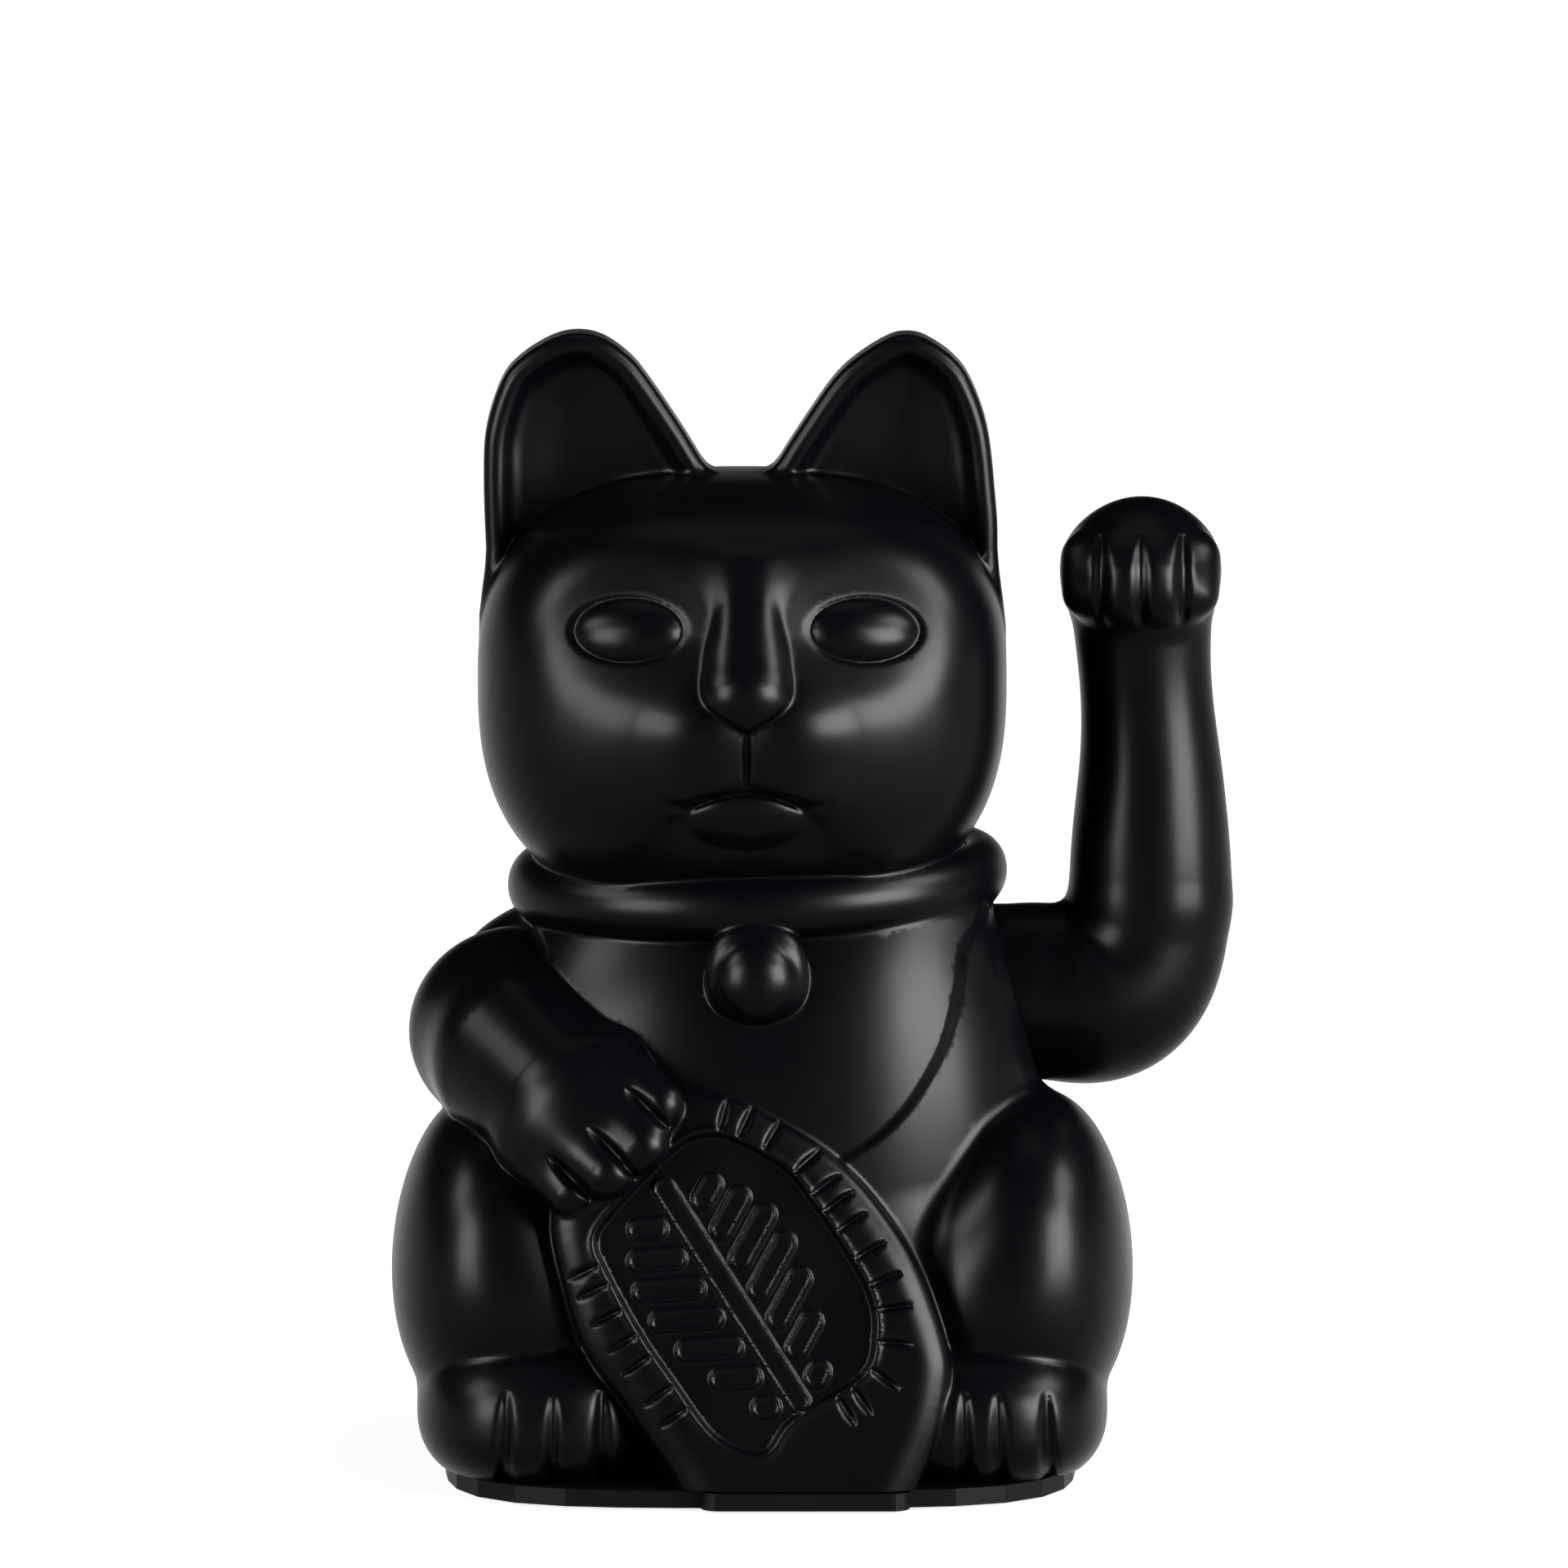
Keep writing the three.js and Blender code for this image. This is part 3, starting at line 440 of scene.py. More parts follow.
def outside(p):
    """(outer surface of the cat's body, the hollow inside it)."""
    body, head = trunk(p), skull(p)
    thigh, foot = legs(p)
    sleeve = mass(p, (-30, -6, 56), (13, 16, 14))
    hollow = np.minimum.reduce([body, thigh, foot, head, sleeve]) + WALL

    def bib(q, d):
        return d - 1.0 * step_up(0.6 - outline_distance(q[:, 0], leaning(q), BIB_OUTLINE), 1.8)

    body = locally(p, (-32, -60, 30), (32, -8, 84), body, bib)

    def toes(q, d):
        for x, drop in TOE_GROOVES:
            d = d + groove(q[:, 0], leaning(q), (x, -9), (x * 0.985, 9.0 - drop), 1.0, 1.1)
        return d

    foot = locally(p, (-50, -60, -5), (50, -24, 16), foot, toes)
    made = soft_min(body, thigh, 2.2)
    made = soft_min(made, foot, 1.0)
    for low, high, part, blend in (((-50, -60, 20), (5, 30, 85), lowered_arm, 0.6),
                                   ((-40, -60, FLOOR_Z - 8), (40, -14, 66), coin, 0.8),
                                   ((-12, -50, 50), (12, -15, 85), bell, 0.4),
                                   ((-40, 20, -5), (40, 60, 40), tail, 1.5)):
        made = locally(p, low, high, made, lambda q, d: soft_min(d, part(q), blend))
    head = locally(p, (-36, -60, HEAD_Z - 30), (36, -6, HEAD_Z + 30), head, face)
    made = soft_min(made, collar(p), 0.8)
    made = soft_min(made, head, 0.8)
    near = p[:, 2] > HEAD_Z + 2
    if near.any():
        ear, ear_hollow = ears(p[near])
        made[near] = soft_min(made[near], ear, 0.9)
        hollow[near] = np.minimum(hollow[near], ear_hollow)
    return made, hollow


POCKET_FLOOR_X = HUB_END_X - 1.0  # the pocket holds the arm's hub
POCKET_RADIUS = 13.2
BORE_RADIUS = 3.0  # for the axle
BAY_HALF = np.array([30.8, 9.5])  # the battery bay, on the x and y axes
BAY_TOP = BASE_TOP_Z + 0.3
DECK_HALF = np.array([38.3, 28.3])  # the opening for the base plate
DECK_TOP = 4.3
POST_RADIUS, POST_TOP = 3.4, 14  # the posts that the base screws go into
RIB_HALF = 0.9  # half the thickness of the rib from a post to the wall
HOLE_RADIUS, HOLE_TOP = 1.5, 13


def body_shell(p):
    """(the hollow body's plastic, its outer surface)."""
    outer, hollow = outside(p)
    behind_relief = 2.2 * step_up(-20 - p[:, 1], 5)  # the front is thicker, where the relief is steep
    hollow = np.maximum(hollow, outer + WALL - 0.2 + behind_relief)
    about_axle = np.hypot(p[:, 1] - PIVOT[1], p[:, 2] - PIVOT[2])
    lining = np.maximum(about_axle - POCKET_RADIUS - WALL, POCKET_FLOOR_X - WALL - p[:, 0])
    posts = np.full(len(p), 1e9)
    for x, y, _ in SCREWS:
        post = np.maximum(np.hypot(p[:, 0] - x, p[:, 1] - y) - POST_RADIUS, p[:, 2] - POST_TOP)
        rib_out = (y - p[:, 1]) if y < 0 else (p[:, 1] - y)
        rib = np.maximum.reduce([np.abs(p[:, 0] - x) - RIB_HALF, -rib_out, p[:, 2] - POST_TOP])
        posts = np.minimum.reduce([posts, post, rib])
    inner = np.minimum(np.maximum(outer, -hollow), np.maximum(outer, np.minimum(lining, posts)))
    pocket = np.maximum(about_axle - POCKET_RADIUS, POCKET_FLOOR_X - p[:, 0])
    bore = np.maximum(about_axle - BORE_RADIUS, np.abs(p[:, 0] - POCKET_FLOOR_X) - 6)
    made = np.maximum(soft_max(inner, -pocket, 0.6), -bore)
    for x, y, _ in SCREWS:
        hole = np.maximum(np.hypot(p[:, 0] - x, p[:, 1] - y) - HOLE_RADIUS, p[:, 2] - HOLE_TOP)
        made = np.maximum(made, -hole)
    bay = np.maximum.reduce([np.abs(p[:, 0]) - BAY_HALF[0], np.abs(p[:, 1] - CELL_MIDDLE[1]) - BAY_HALF[1],
                             p[:, 2] - BAY_TOP])
    deck = np.maximum(mass(p * np.array([1, 1, 0]), (0, 1, 0), (*DECK_HALF, 1e3), 3.2), p[:, 2] - DECK_TOP)
    made = np.maximum(np.maximum(made, -bay), -deck)
    return made, outer


# ------------------------------------------------------------------ raised arm
STUB_RADIUS, STUB_END_X = 11.4, 46  # the part that leads out of the body
BEND_RADIUS = 11.3
FOREARM_X = 51.4
FOREARM_Z = (12, 56)
FOREARM_PROFILE = np.polyfit((8, 14, 18, 22, 28, 33, 38, 43, 49, 56),  # its radius at these heights
                             (10.8, 10.75, 10.6, 10.2, 9.65, 9.15, 8.8, 8.7, 9.2, 9.7), 5)
BEND_START, BEND_CORNER, BEND_END = (np.array(end) for end in ((36, 0, 0), (50.8, 0, -3), (51.35, 0, 12)))
ARM_TOES = ((42.7, 2.9), (47.3, 3.2), (52.7, 3.3), (57.3, 2.9))  # x and radius
ARM_GROOVES = (44.8, 50.0, 55.5)


def elbow(p):
    """The bend from the hub to the forearm: a tube of changing radius round a curve."""
    lead, bend = BEND_CORNER - BEND_START, BEND_START - 2 * BEND_CORNER + BEND_END

    def place(share):
        return BEND_START + 2 * share * lead + share**2 * bend

    tries = np.linspace(0, 1, 9)
    apart = np.linalg.norm(p[:, None] - place(tries[:, None])[None], axis=2)
    share = tries[np.argmin(apart, axis=1)][:, None]
    for _ in range(3):  # to the nearest point of the curve
        offset, along = p - place(share), 2 * (lead + share * bend)
        squared = (along**2).sum(1, keepdims=True)
        turn = np.maximum(squared - 2 * (offset @ bend)[:, None], 0.4 * squared)
        share = np.clip(share + (offset * along).sum(1, keepdims=True) / turn, 0, 1)
    away = np.linalg.norm(p - place(share), axis=1)
    share = share[:, 0]
    return away - BEND_RADIUS + 0.65 * share**2 * (3 - 2 * share) - 32 * share**2 * (1 - share) ** 3


def raised_arm(p):
    """Outer surface of the raised arm, measured from the pivot."""
    past_hub = HUB_END_X - PIVOT[0] - p[:, 0]
    ends = np.maximum(p[:, 0] - STUB_END_X, past_hub)
    stub = soft_max(np.hypot(p[:, 1], p[:, 2]) - STUB_RADIUS, ends, 0.6)
    height = np.clip(p[:, 2], *FOREARM_Z)
    middle = FOREARM_X - 1.2 * step_up(height - 28, 24)
    fore = np.sqrt((p[:, 0] - middle) ** 2 + p[:, 1] ** 2 + (p[:, 2] - height) ** 2)
    arm = soft_min(stub, fore - np.polyval(FOREARM_PROFILE, height), 3.0)
    arm = soft_max(soft_min(arm, elbow(p), 0.8), past_hub, 0.6)
    paw = mass(p, (49.9, -2.0, 56.0), (10.1, 11.4, 7.3), 2.3)
    arm = soft_min(arm, paw, 3)
    for x, radius in ARM_TOES:
        back = 0.04 * (x - 50) ** 2
        toe = limb(p, (x, -7.0 + back, 58.5), (x, -9.2 + back, 53.9), radius, radius)
        arm = soft_min(arm, toe, 1.8)
    for x in ARM_GROOVES:
        arm = arm + groove(p[:, 0], p[:, 2], (x, 50), (x, 62), 1.0, 0.9) * step_up(-4 - p[:, 1], 3)
    return arm


def arm_shell(p):
    """(the hollow arm's plastic, its outer surface), in the part's frame."""
    outer = raised_arm(p - PIVOT)
    return soft_max(outer, -outer - ARM_WALL, 0.3), outer


# ------------------------------------------------------------------ from a distance field to a mesh
CUBE = np.array([[x, y, z] for z in (0, 1) for y in (0, 1) for x in (0, 1)])
CUBE_EDGES = [(a, b) for a in range(8) for b in range(a + 1, 8) if (CUBE[a] != CUBE[b]).sum() == 1]
TETRA = np.array([[1, 1, 1], [1, -1, -1], [-1, 1, -1], [-1, -1, 1]], float)
STRIDE = 4096  # more cells than a grid has along one axis
NEAR_CELLS, NEAR_CELLS_IN_DETAIL = 1.35, 3.2  # cells this many sizes from the surface are kept
BATCH = 60000  # points measured at a time
VISIBLE = 0.4  # a point this near to the outer surface is seen
VISIBLE_TOLERANCE, HIDDEN_TOLERANCE = 0.02, 0.25
SPLIT_OVER = 1.4  # an edge is split when it is longer than this many times the wanted length


def in_batches(field, p):
    """A field's columns at many points."""
    parts = [field(p[i:i + BATCH]) for i in range(0, len(p), BATCH)]
    return tuple(np.concatenate(column) for column in zip(*parts))


def value_and_slope(field, p, reach=0.04):
    """A field's value and gradient at each point."""
    values = in_batches(field, (p[:, None] + reach * TETRA).reshape(-1, 3))[0].reshape(-1, 4)
    return values.mean(1), values @ TETRA / (4 * reach)


def onto_surface(field, p, rounds=2):
    """Moves points along the field's slope to where it is zero."""
    for _ in range(rounds):
        value, slope = value_and_slope(field, p)
        move = -value[:, None] * slope / np.maximum((slope**2).sum(1), 0.2)[:, None]
        there = p + np.clip(move, -0.5, 0.5)
        better = np.abs(in_batches(field, there)[0]) < np.abs(value)
        p = np.where(better[:, None], there, p)
    return p


def first_mesh(field, low, high, step, detail, levels=3):
    """A closed mesh of the surface on a grid: one point in each cell that the surface crosses.

    In the detailed zones the field can be steep, so cells are kept further from the surface.
    """
    def code(c):
        return (c[..., 0] * STRIDE + c[..., 1]) * STRIDE + c[..., 2]

    low = np.array(low, float)
    count = np.ceil((np.array(high) - low) / (step * 2**levels)).astype(int)
    cells = np.stack(np.meshgrid(*map(np.arange, count), indexing="ij"), -1).reshape(-1, 3)
    for level in range(levels, -1, -1):
        size = step * 2**level
        middle = low + (cells + 0.5) * size
        reach = np.full(len(cells), NEAR_CELLS)
        for zone_low, zone_high, _ in detail:
            zone = inside_box(middle, np.array(zone_low) - size, np.array(zone_high) + size)
            reach[zone] = NEAR_CELLS_IN_DETAIL
        cells = cells[np.abs(in_batches(field, middle)[0]) < reach * size]
        if level:
            cells = (2 * cells[:, None] + CUBE).reshape(-1, 3)
    corner_codes, where = np.unique(code(cells[:, None] + CUBE), return_inverse=True)
    corners = np.stack([corner_codes // STRIDE**2, corner_codes // STRIDE % STRIDE, corner_codes % STRIDE], 1)
    values = in_batches(field, low + corners * step)[0][where.reshape(-1, 8)]
    inside = values < 0
    crossed = inside.any(1) & ~inside.all(1)
    cells, values, inside = cells[crossed], values[crossed], inside[crossed]
    total, number = np.zeros((len(cells), 3)), np.zeros(len(cells))
    for a, b in CUBE_EDGES:
        cut = inside[:, a] != inside[:, b]
        share = np.where(cut, values[:, a] / np.where(cut, values[:, a] - values[:, b], 1), 0)
        total += np.where(cut[:, None], CUBE[a] + share[:, None] * (CUBE[b] - CUBE[a]), 0)
        number += cut
    points = low + (cells + total / number[:, None]) * step
    codes = code(cells)
    order = np.argsort(codes)
    points, codes, cells, inside = points[order], codes[order], cells[order], inside[order]
    quads = []
    for axis in range(3):
        b, c = np.eye(3, dtype=int)[(axis + 1) % 3], np.eye(3, dtype=int)[(axis + 2) % 3]
        cut = inside[:, 0] != inside[:, 1 << axis]
        here = cells[cut]
        ring = np.stack([code(here), code(here - b), code(here - b - c), code(here - c)], 1)
        found = np.searchsorted(codes, ring).clip(0, len(codes) - 1)
        whole = (codes[found] == ring).all(1)
        flipped = inside[cut, 0]
        found[~flipped] = found[~flipped][:, ::-1]
        quads.append(found[whole])
    quads = np.concatenate(quads)
    short = (np.linalg.norm(points[quads[:, 0]] - points[quads[:, 2]], axis=1)
             < np.linalg.norm(points[quads[:, 1]] - points[quads[:, 3]], axis=1))
    first = np.where(short[:, None], quads[:, [0, 1, 2]], quads[:, [0, 1, 3]])
    second = np.where(short[:, None], quads[:, [0, 2, 3]], quads[:, [1, 2, 3]])
    return points, np.concatenate([first, second])


def split_edges(points, triangles, wanted):
    """Splits the edges that wanted picks, and each triangle beside them to match.

    The third value returned is the number of points that were there before.
    """
    def turn(rows, shift):
        return np.take_along_axis(rows, (np.arange(3) + shift[:, None]) % 3, 1)

    ends = np.sort(triangles[:, [[0, 1], [1, 2], [2, 0]]], axis=2).reshape(-1, 2)
    codes = ends[:, 0] * len(points) + ends[:, 1]
    _, first, where = np.unique(codes, return_index=True, return_inverse=True)
    pairs = ends[first]
    chosen = wanted(points[pairs[:, 0]], points[pairs[:, 1]])
    middle = np.where(chosen, len(points) + np.cumsum(chosen) - 1, -1)[where].reshape(-1, 3)
    fresh = (points[pairs[chosen, 0]] + points[pairs[chosen, 1]]) / 2
    count = (middle >= 0).sum(1)
    made = [triangles[count == 0]]
    t, m = triangles[count == 1], middle[count == 1]
    shift = m.argmax(1)
    t, m = turn(t, shift), turn(m, shift)
    made += [np.stack([t[:, 0], m[:, 0], t[:, 2]], 1), np.stack([m[:, 0], t[:, 1], t[:, 2]], 1)]
    t, m = triangles[count == 2], middle[count == 2]
    shift = (m.argmin(1) + 1) % 3
    t, m = turn(t, shift), turn(m, shift)
    made += [np.stack([m[:, 0], t[:, 1], m[:, 1]], 1), np.stack([t[:, 0], m[:, 0], m[:, 1]], 1),
             np.stack([t[:, 0], m[:, 1], t[:, 2]], 1)]
    t, m = triangles[count == 3], middle[count == 3]
    made += [m, np.stack([t[:, 0], m[:, 0], m[:, 2]], 1), np.stack([m[:, 0], t[:, 1], m[:, 1]], 1),
             np.stack([m[:, 2], m[:, 1], t[:, 2]], 1)]
    return np.concatenate([points, fresh]), np.concatenate(made), len(points)


def relaxed(field, points, triangles):
    """Evens out the triangles along the surface."""
    ends = np.concatenate([triangles[:, [0, 1]], triangles[:, [1, 2]], triangles[:, [2, 0]]])
    total = np.stack([np.bincount(ends[:, 0], points[ends[:, 1], i], len(points)) for i in range(3)], 1)
    number = np.bincount(ends[:, 0], minlength=len(points))
    mean = total / np.maximum(number, 1)[:, None]
    return onto_surface(field, points + 0.5 * (mean - points), 1)


def fine_mesh(field, low, high, step, detail, shortest, rounds):
    """The surface with its long edges split where they cut across a curve or cross a detailed zone."""
    points, triangles = first_mesh(field, low, high, step, detail)
    points = onto_surface(field, points)
    points = relaxed(field, points, triangles)

    def wanted(a, b):
        middle, length = (a + b) / 2, np.linalg.norm(a - b, axis=1)
        off, outer = in_batches(field, middle)
        visible = np.abs(outer) < VISIBLE
        tolerance = np.where(visible, VISIBLE_TOLERANCE, HIDDEN_TOLERANCE)
        coarse = np.full(len(middle), 1e9)
        for zone_low, zone_high, size in detail:
            zone = inside_box(middle, zone_low, zone_high) & visible
            coarse[zone] = np.minimum(coarse[zone], size)
        cuts_corner = (np.abs(off) > tolerance) & (length > SPLIT_OVER * shortest)
        return (length > SPLIT_OVER * coarse) | cuts_corner

    for _ in range(rounds):
        points, triangles, old = split_edges(points, triangles, wanted)
        points[old:] = onto_surface(field, points[old:])
    return points, triangles


def cut_off(bm, place, direction):
    """Takes away what lies beyond a plane and closes the cut with flat faces."""
    cut = bmesh.ops.bisect_plane(bm, geom=bm.verts[:] + bm.edges[:] + bm.faces[:], plane_co=place,
                                 plane_no=direction, clear_outer=True, dist=1e-6)
    rim = [g for g in cut["geom_cut"] if isinstance(g, bmesh.types.BMEdge)]
    closed = bmesh.ops.triangle_fill(bm, use_beauty=True, edges=rim, normal=direction)
    for g in closed["geom"]:
        if isinstance(g, bmesh.types.BMFace):
            g.smooth = False


LEAST_AGREEMENT = 0.2  # between a face's own normal and the slope that replaces it


def field_normals(mesh, places, field):
    """A normal for each corner: the field's slope on curved faces, and the face's own on cuts."""
    slope = value_and_slope(field, places.reshape(-1, 3).astype(float))[1]
    slope /= np.linalg.norm(slope, axis=1)[:, None] + 1e-9
    corner_vertex = np.zeros(len(mesh.loops), np.int32)
    mesh.loops.foreach_get("vertex_index", corner_vertex)
    face_normal = np.zeros(len(mesh.polygons) * 3, np.float32)
    mesh.polygons.foreach_get("normal", face_normal)
    smooth = np.zeros(len(mesh.polygons), bool)
    mesh.polygons.foreach_get("use_smooth", smooth)
    per_corner = np.repeat(face_normal.reshape(-1, 3), 3, axis=0)
    bent = slope[corner_vertex]
    follows = np.repeat(smooth, 3) & ((bent * per_corner).sum(1) > LEAST_AGREEMENT)
    return np.where(follows[:, None], bent, per_corner)


def shell_piece(field, points, triangles, planes, body, node, slot):
    """Cuts one piece out of a closed mesh, and sets it in place of a CAD node."""
    name = node + "_skin"
    mesh = bpy.data.meshes.new(name)
    mesh.from_pydata(points, [], triangles)
    bm = bmesh.new()
    bm.from_mesh(mesh)
    for f in bm.faces:
        f.smooth = True
    for place, direction in planes:
        cut_off(bm, place, direction)
    bmesh.ops.triangulate(bm, faces=[f for f in bm.faces if len(f.verts) > 3])
    bmesh.ops.recalc_face_normals(bm, faces=bm.faces[:])
    bm.to_mesh(mesh)
    bm.free()
    places = np.zeros(len(mesh.vertices) * 3, np.float32)
    mesh.vertices.foreach_get("co", places)
    normals = field_normals(mesh, places, field)
    mesh.vertices.foreach_set("co", places * MM)
    mesh.polygons.foreach_set("use_smooth", np.ones(len(mesh.polygons), bool))
    mesh.normals_split_custom_set(normals)
    mesh.update()
    mesh.materials.append(FINISHES[slot])
    piece = bpy.data.objects.new(name, mesh)
    bpy.context.scene.collection.objects.link(piece)
    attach(piece, body)
    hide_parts(node)


# ------------------------------------------------------------------ materials
def node_material(name, colour, roughness, metallic=0.0, grain=0.0, grain_size=0.5, mottling=0.0, coat=0.0,
                  brushed=False, specular=0.5):
    """A surface whose gloss and relief vary from place to place. Sizes are in millimetres."""
    material = bpy.data.materials.new(name)
    material.use_nodes = True
    tree = material.node_tree
    nodes, links = tree.nodes, tree.links
    shader = nodes["Principled BSDF"]
    shader.inputs["Metallic"].default_value = metallic
    shader.inputs["Specular IOR Level"].default_value = specular
    shader.inputs["Coat Weight"].default_value = coat
    shader.inputs["Coat Roughness"].default_value = 0.2
    place = nodes.new("ShaderNodeTexCoord")
    stretch = nodes.new("ShaderNodeMapping")
    stretch.inputs["Scale"].default_value = (1, 1, 12) if brushed else (1, 1, 1)
    links.new(place.outputs["Object"], stretch.inputs["Vector"])
    broad = nodes.new("ShaderNodeTexNoise")
    broad.inputs["Scale"].default_value = 90
    broad.inputs["Detail"].default_value = 3
    links.new(place.outputs["Object"], broad.inputs["Vector"])
    gloss = nodes.new("ShaderNodeMapRange")
    gloss.inputs["To Min"].default_value = max(roughness - 0.05, 0.02)
    gloss.inputs["To Max"].default_value = roughness + 0.05
    links.new(broad.outputs["Fac"], gloss.inputs["Value"])
    links.new(gloss.outputs["Result"], shader.inputs["Roughness"])
    tint = nodes.new("ShaderNodeMix")
    tint.data_type = "RGBA"
    tint.inputs["A"].default_value = (*[c * (1 - mottling) for c in colour], 1)
    tint.inputs["B"].default_value = (*[min(c * (1 + mottling), 1) for c in colour], 1)
    links.new(broad.outputs["Fac"], tint.inputs["Factor"])
    links.new(tint.outputs["Result"], shader.inputs["Base Color"])
    if grain:
        fine = nodes.new("ShaderNodeTexNoise")
        fine.inputs["Scale"].default_value = 1 / (grain_size * MM)
        fine.inputs["Detail"].default_value = 4
        links.new(stretch.outputs["Vector"], fine.inputs["Vector"])
        bump = nodes.new("ShaderNodeBump")
        bump.inputs["Strength"].default_value = 0.35
        bump.inputs["Distance"].default_value = grain * MM
        links.new(fine.outputs["Fac"], bump.inputs["Height"])
        links.new(bump.outputs["Normal"], shader.inputs["Normal"])
    return material


SETTINGS_OF_FINISH = {
    "satin_black": dict(colour=(0.0002, 0.0002, 0.00035), roughness=0.31, specular=0.032, grain=0.006,
                        grain_size=0.35, mottling=0.15),
    "base_black": dict(colour=(0.0004, 0.0004, 0.0005), roughness=0.4, specular=0.03, grain=0.02,
                       mottling=0.2),
    "mechanism_plastic": dict(colour=(0.27, 0.28, 0.29), roughness=0.5, grain=0.02, mottling=0.06),
    "steel": dict(colour=(0.52, 0.53, 0.54), roughness=0.3, metallic=1.0, grain=0.006, grain_size=0.2,
                  mottling=0.1, brushed=True),
    "spring_steel": dict(colour=(0.60, 0.61, 0.62), roughness=0.24, metallic=1.0, grain=0.004,
                         grain_size=0.2, mottling=0.08, brushed=True),
    "brass": dict(colour=(0.55, 0.38, 0.14), roughness=0.3, metallic=1.0, grain=0.005, grain_size=0.2,
                  mottling=0.12),
    "copper": dict(colour=(0.60, 0.22, 0.10), roughness=0.3, metallic=1.0, grain=0.05, grain_size=0.25,
                   mottling=0.15, brushed=True),
    "board_green": dict(colour=(0.03, 0.13, 0.06), roughness=0.4, grain=0.01, mottling=0.12, coat=0.4),
    "magnet_nickel": dict(colour=(0.55, 0.54, 0.52), roughness=0.18, metallic=1.0, mottling=0.05),
    "cell_sleeve": dict(colour=(0.05, 0.12, 0.27), roughness=0.3, grain=0.004, mottling=0.08, coat=0.5),
    "component_black": dict(colour=(0.012, 0.012, 0.012), roughness=0.45, grain=0.01, mottling=0.2),
    "capacitor_blue": dict(colour=(0.02, 0.04, 0.13), roughness=0.35, mottling=0.1, coat=0.3),
    "resistor_tan": dict(colour=(0.55, 0.40, 0.20), roughness=0.55, grain=0.01, mottling=0.12),
    "wire_red": dict(colour=(0.38, 0.02, 0.02), roughness=0.45, mottling=0.1),
    "wire_black": dict(colour=(0.008, 0.008, 0.008), roughness=0.45, mottling=0.2),
}
FINISHES = {name: node_material(name, **settings) for name, settings in SETTINGS_OF_FINISH.items()}
NODES_OF_FINISH = {
    "base_black": ("base_plate", "battery_door"),
    "mechanism_plastic": ("axle_bracket", "arm_hub", "pendulum_lever"),
    "steel": ("base_screw_front_left", "base_screw_front_right", "base_screw_rear_left",
              "base_screw_rear_right", "bracket_screw_1", "bracket_screw_2", "board_screw_1",
              "board_screw_2", "switch_body", "pivot_axle", "counterweight_left", "counterweight_right"),
    "spring_steel": ("battery_minus_contact", "battery_plus_contact", "axle_clip"),
    "brass": ("inner_axle_bush", "outer_axle_bush"),
    "copper": ("coil_winding",),
    "board_green": ("circuit_board",),
    "magnet_nickel": ("drive_magnet",),
    "cell_sleeve": ("battery_cell",),
    "component_black": ("switch_slider", "coil_bobbin", "transistor"),
    "capacitor_blue": ("capacitor",),
    "resistor_tan": ("resistor",),
    "wire_red": ("battery_plus_wire", "switch_wire"),
    "wire_black": ("battery_minus_wire",),
}


SHARP_ANGLE = math.radians(32)  # edges of the CAD nodes sharper than this stay sharp


def finish_cad_nodes():
    """Gives each CAD node that is still shown its finish, and shades its curved faces smooth."""
    for slot, names in NODES_OF_FINISH.items():
        for name in names:
            node = frame["nodes"][name]
            node.data.materials.clear()
            node.data.materials.append(FINISHES[slot])
            node.data.shade_smooth()
            node.data.set_sharp_from_angle(angle=SHARP_ANGLE)


# ------------------------------------------------------------------ build
STEP = 1.1  # the grid's cells
SHORTEST = 0.34  # the shortest edge that curves are split to
ROUNDS = 3
BODY_DETAIL = (  # low corner, high corner and edge length of the zones with relief
    ((-36, -60, FLOOR_Z), (27, -26, 58), 0.5),  # coin and lowered paw
    ((-30, -60, HEAD_Z - 24), (27, -16, HEAD_Z + 20), 0.65),  # face
    ((-12, -60, 58), (10, -26, 80), 0.55),  # bell
)
ARM_DETAIL = (((36, -40, PIVOT[2] + 44), (64, 0, PIVOT[2] + 72), 0.45),)
FRONT_CUT = ((0, SEAM_Y - HALF_SEAM, 0), (0, 1, 0))
REAR_CUT = ((0, SEAM_Y + HALF_SEAM, 0), (0, -1, 0))
FLOOR_CUT = ((0, 0, FLOOR_Z), (0, 0, -1))

body_mesh = fine_mesh(body_shell, (-52, -50, FLOOR_Z - 3), (52, 46, EAR_TIP_Z + 3), STEP,
                      BODY_DETAIL, SHORTEST, ROUNDS)
arm_mesh = fine_mesh(arm_shell, (26, -18, PIVOT[2] - 16), (66, 22, PIVOT[2] + 72), STEP * 0.8,
                     ARM_DETAIL, SHORTEST, ROUNDS)
for node, cut in (("front_shell", FRONT_CUT), ("rear_shell", REAR_CUT)):
    shell_piece(body_shell, *body_mesh, (cut, FLOOR_CUT), "figurine", node, "satin_black")
for node, cut in (("arm_front_shell", FRONT_CUT), ("arm_rear_shell", REAR_CUT)):
    shell_piece(arm_shell, *arm_mesh, (cut,), "swinging_arm", node, "satin_black")
finish_cad_nodes()


# ------------------------------------------------------------------ stage, lights and camera, in metres
FLOOR_RADIUS, FLOOR_SIDES, FLOOR_DROP = 20, 96, 0.0004


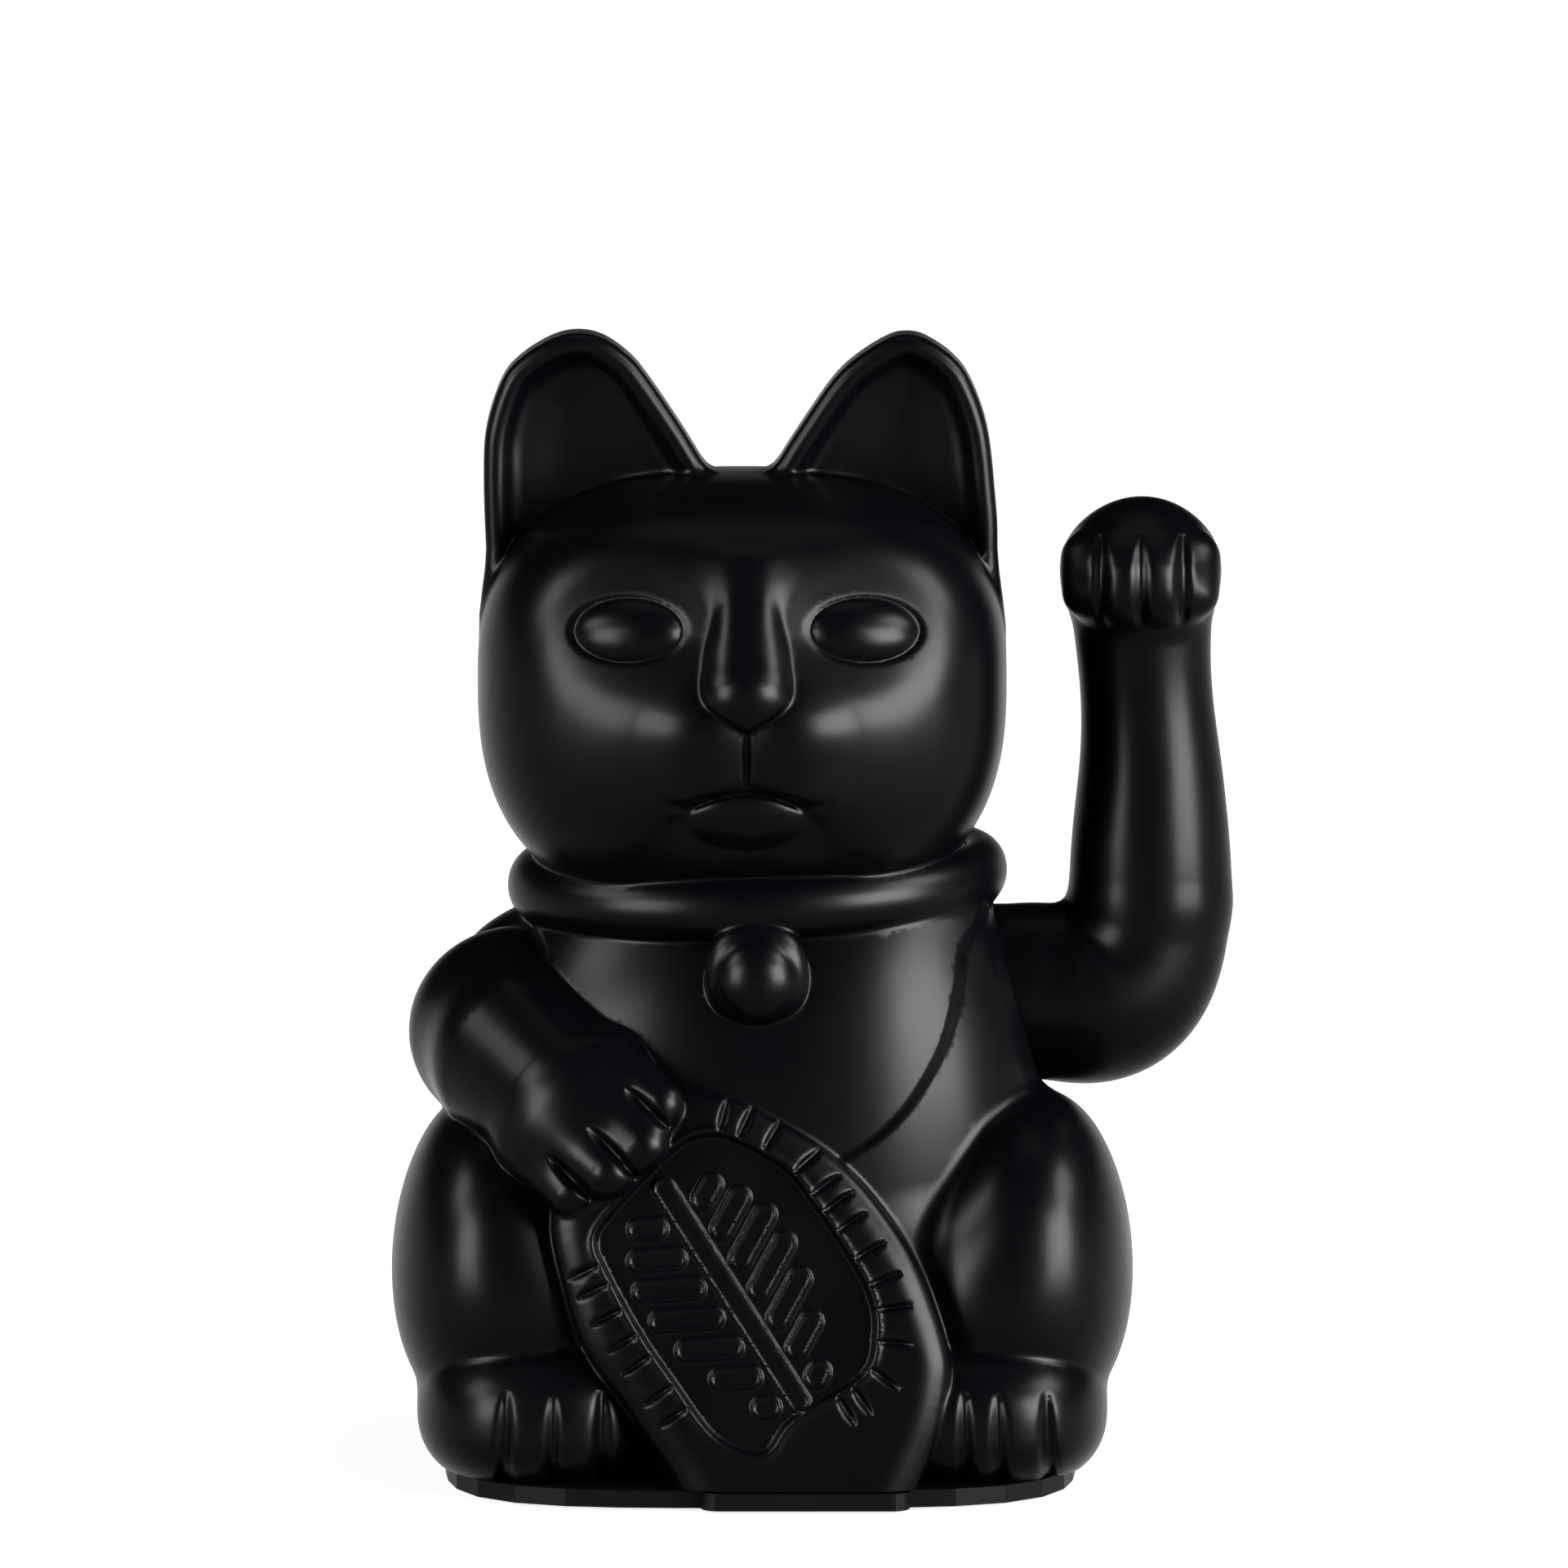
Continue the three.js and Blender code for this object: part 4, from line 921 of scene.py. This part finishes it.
def floor_material():
    """Paper that gives its own even white light, dimmed near the object as a painted contact shadow."""
    material = bpy.data.materials.new("floor_paper_with_painted_shadow")
    material.use_nodes = True
    nodes, links = material.node_tree.nodes, material.node_tree.links
    shader = nodes["Principled BSDF"]
    shader.inputs["Base Color"].default_value = (0.04, 0.04, 0.04, 1)
    shader.inputs["Roughness"].default_value = 0.9
    shader.inputs["Emission Color"].default_value = (1, 1, 1, 1)
    place = nodes.new("ShaderNodeTexCoord")
    away = nodes.new("ShaderNodeVectorMath")
    away.operation = "LENGTH"
    # emission strength falls from 1.0 further out to 0.82 near the object: a painted contact shadow on the
    # floor
    painted_shadow_glow = nodes.new("ShaderNodeMapRange")
    painted_shadow_glow.inputs["From Min"].default_value = 0.05
    painted_shadow_glow.inputs["From Max"].default_value = 0.20
    painted_shadow_glow.inputs["To Min"].default_value = 0.82
    painted_shadow_glow.inputs["To Max"].default_value = 1.0
    links.new(place.outputs["Object"], away.inputs[0])
    links.new(away.outputs["Value"], painted_shadow_glow.inputs["Value"])
    links.new(painted_shadow_glow.outputs["Result"], shader.inputs["Emission Strength"])
    return material


def stage_floor():
    """A wide round floor just under the object."""
    mesh = bpy.data.meshes.new("floor")
    angles = np.linspace(0, 2 * math.pi, FLOOR_SIDES + 1)[:-1]
    ring = [(FLOOR_RADIUS * math.cos(a), FLOOR_RADIUS * math.sin(a), -FLOOR_DROP) for a in angles]
    mesh.from_pydata(ring, [], [list(range(FLOOR_SIDES))])
    mesh.materials.append(floor_material())
    floor = bpy.data.objects.new("floor", mesh)
    bpy.context.scene.collection.objects.link(floor)


def soft_box(name, place, size, power, target=(0, 0, 0.08)):
    """A rectangular lamp that faces the object."""
    light = bpy.data.lights.new(name, "AREA")
    light.shape = "RECTANGLE"
    light.size, light.size_y = size
    light.energy = power
    lamp = bpy.data.objects.new(name, light)
    lamp.location = place
    lamp.rotation_mode = "QUATERNION"
    lamp.rotation_quaternion = (Vector(place) - Vector(target)).to_track_quat("Z", "Y")
    bpy.context.scene.collection.objects.link(lamp)


def studio_world(horizon, above):
    """White up to just over the horizon and nearly dark overhead."""
    world = bpy.data.worlds.new("studio")
    world.use_nodes = True
    nodes, links = world.node_tree.nodes, world.node_tree.links
    place = nodes.new("ShaderNodeTexCoord")
    split = nodes.new("ShaderNodeSeparateXYZ")
    fade = nodes.new("ShaderNodeMapRange")
    fade.inputs["From Min"].default_value = 0.03
    fade.inputs["From Max"].default_value = 0.16
    fade.inputs["To Min"].default_value = horizon
    fade.inputs["To Max"].default_value = above
    links.new(place.outputs["Generated"], split.inputs["Vector"])
    links.new(split.outputs["Z"], fade.inputs["Value"])
    links.new(fade.outputs["Result"], nodes["Background"].inputs["Strength"])
    nodes["Background"].inputs["Color"].default_value = (1, 1, 1, 1)
    bpy.context.scene.world = world


def camera_at(target, width, elevation, distance):
    """A camera in front of the object that sees the given width at its target."""
    data = bpy.data.cameras.new("camera")
    data.sensor_width = 36
    data.lens = data.sensor_width * distance / width
    data.clip_start, data.clip_end = 0.05, 100
    cam = bpy.data.objects.new("camera", data)
    back = Vector((0, -math.cos(elevation), math.sin(elevation)))
    cam.location = Vector(target) + back * distance
    cam.rotation_mode = "QUATERNION"
    cam.rotation_quaternion = back.to_track_quat("Z", "Y")
    bpy.context.scene.collection.objects.link(cam)
    bpy.context.scene.camera = cam


stage_floor()
soft_box("right_box", (0.83, -0.56, 0.30), (0.6, 0.55), 105)
soft_box("left_box", (-0.79, -0.62, 0.28), (0.45, 0.55), 45)
soft_box("left_high_box", (-0.95, -0.25, 0.75), (0.4, 0.45), 20)
soft_box("right_high_box", (0.90, -0.15, 0.75), (0.5, 0.4), 30)
soft_box("top_box", (0, 0.2, 1.2), (0.8, 0.6), 2)
studio_world(0.95, 0.02)
bpy.context.scene.view_settings.view_transform = "Standard"
camera_at(target=(0.0031, 0, 0.0896), width=0.2064, elevation=TILT, distance=6.0)
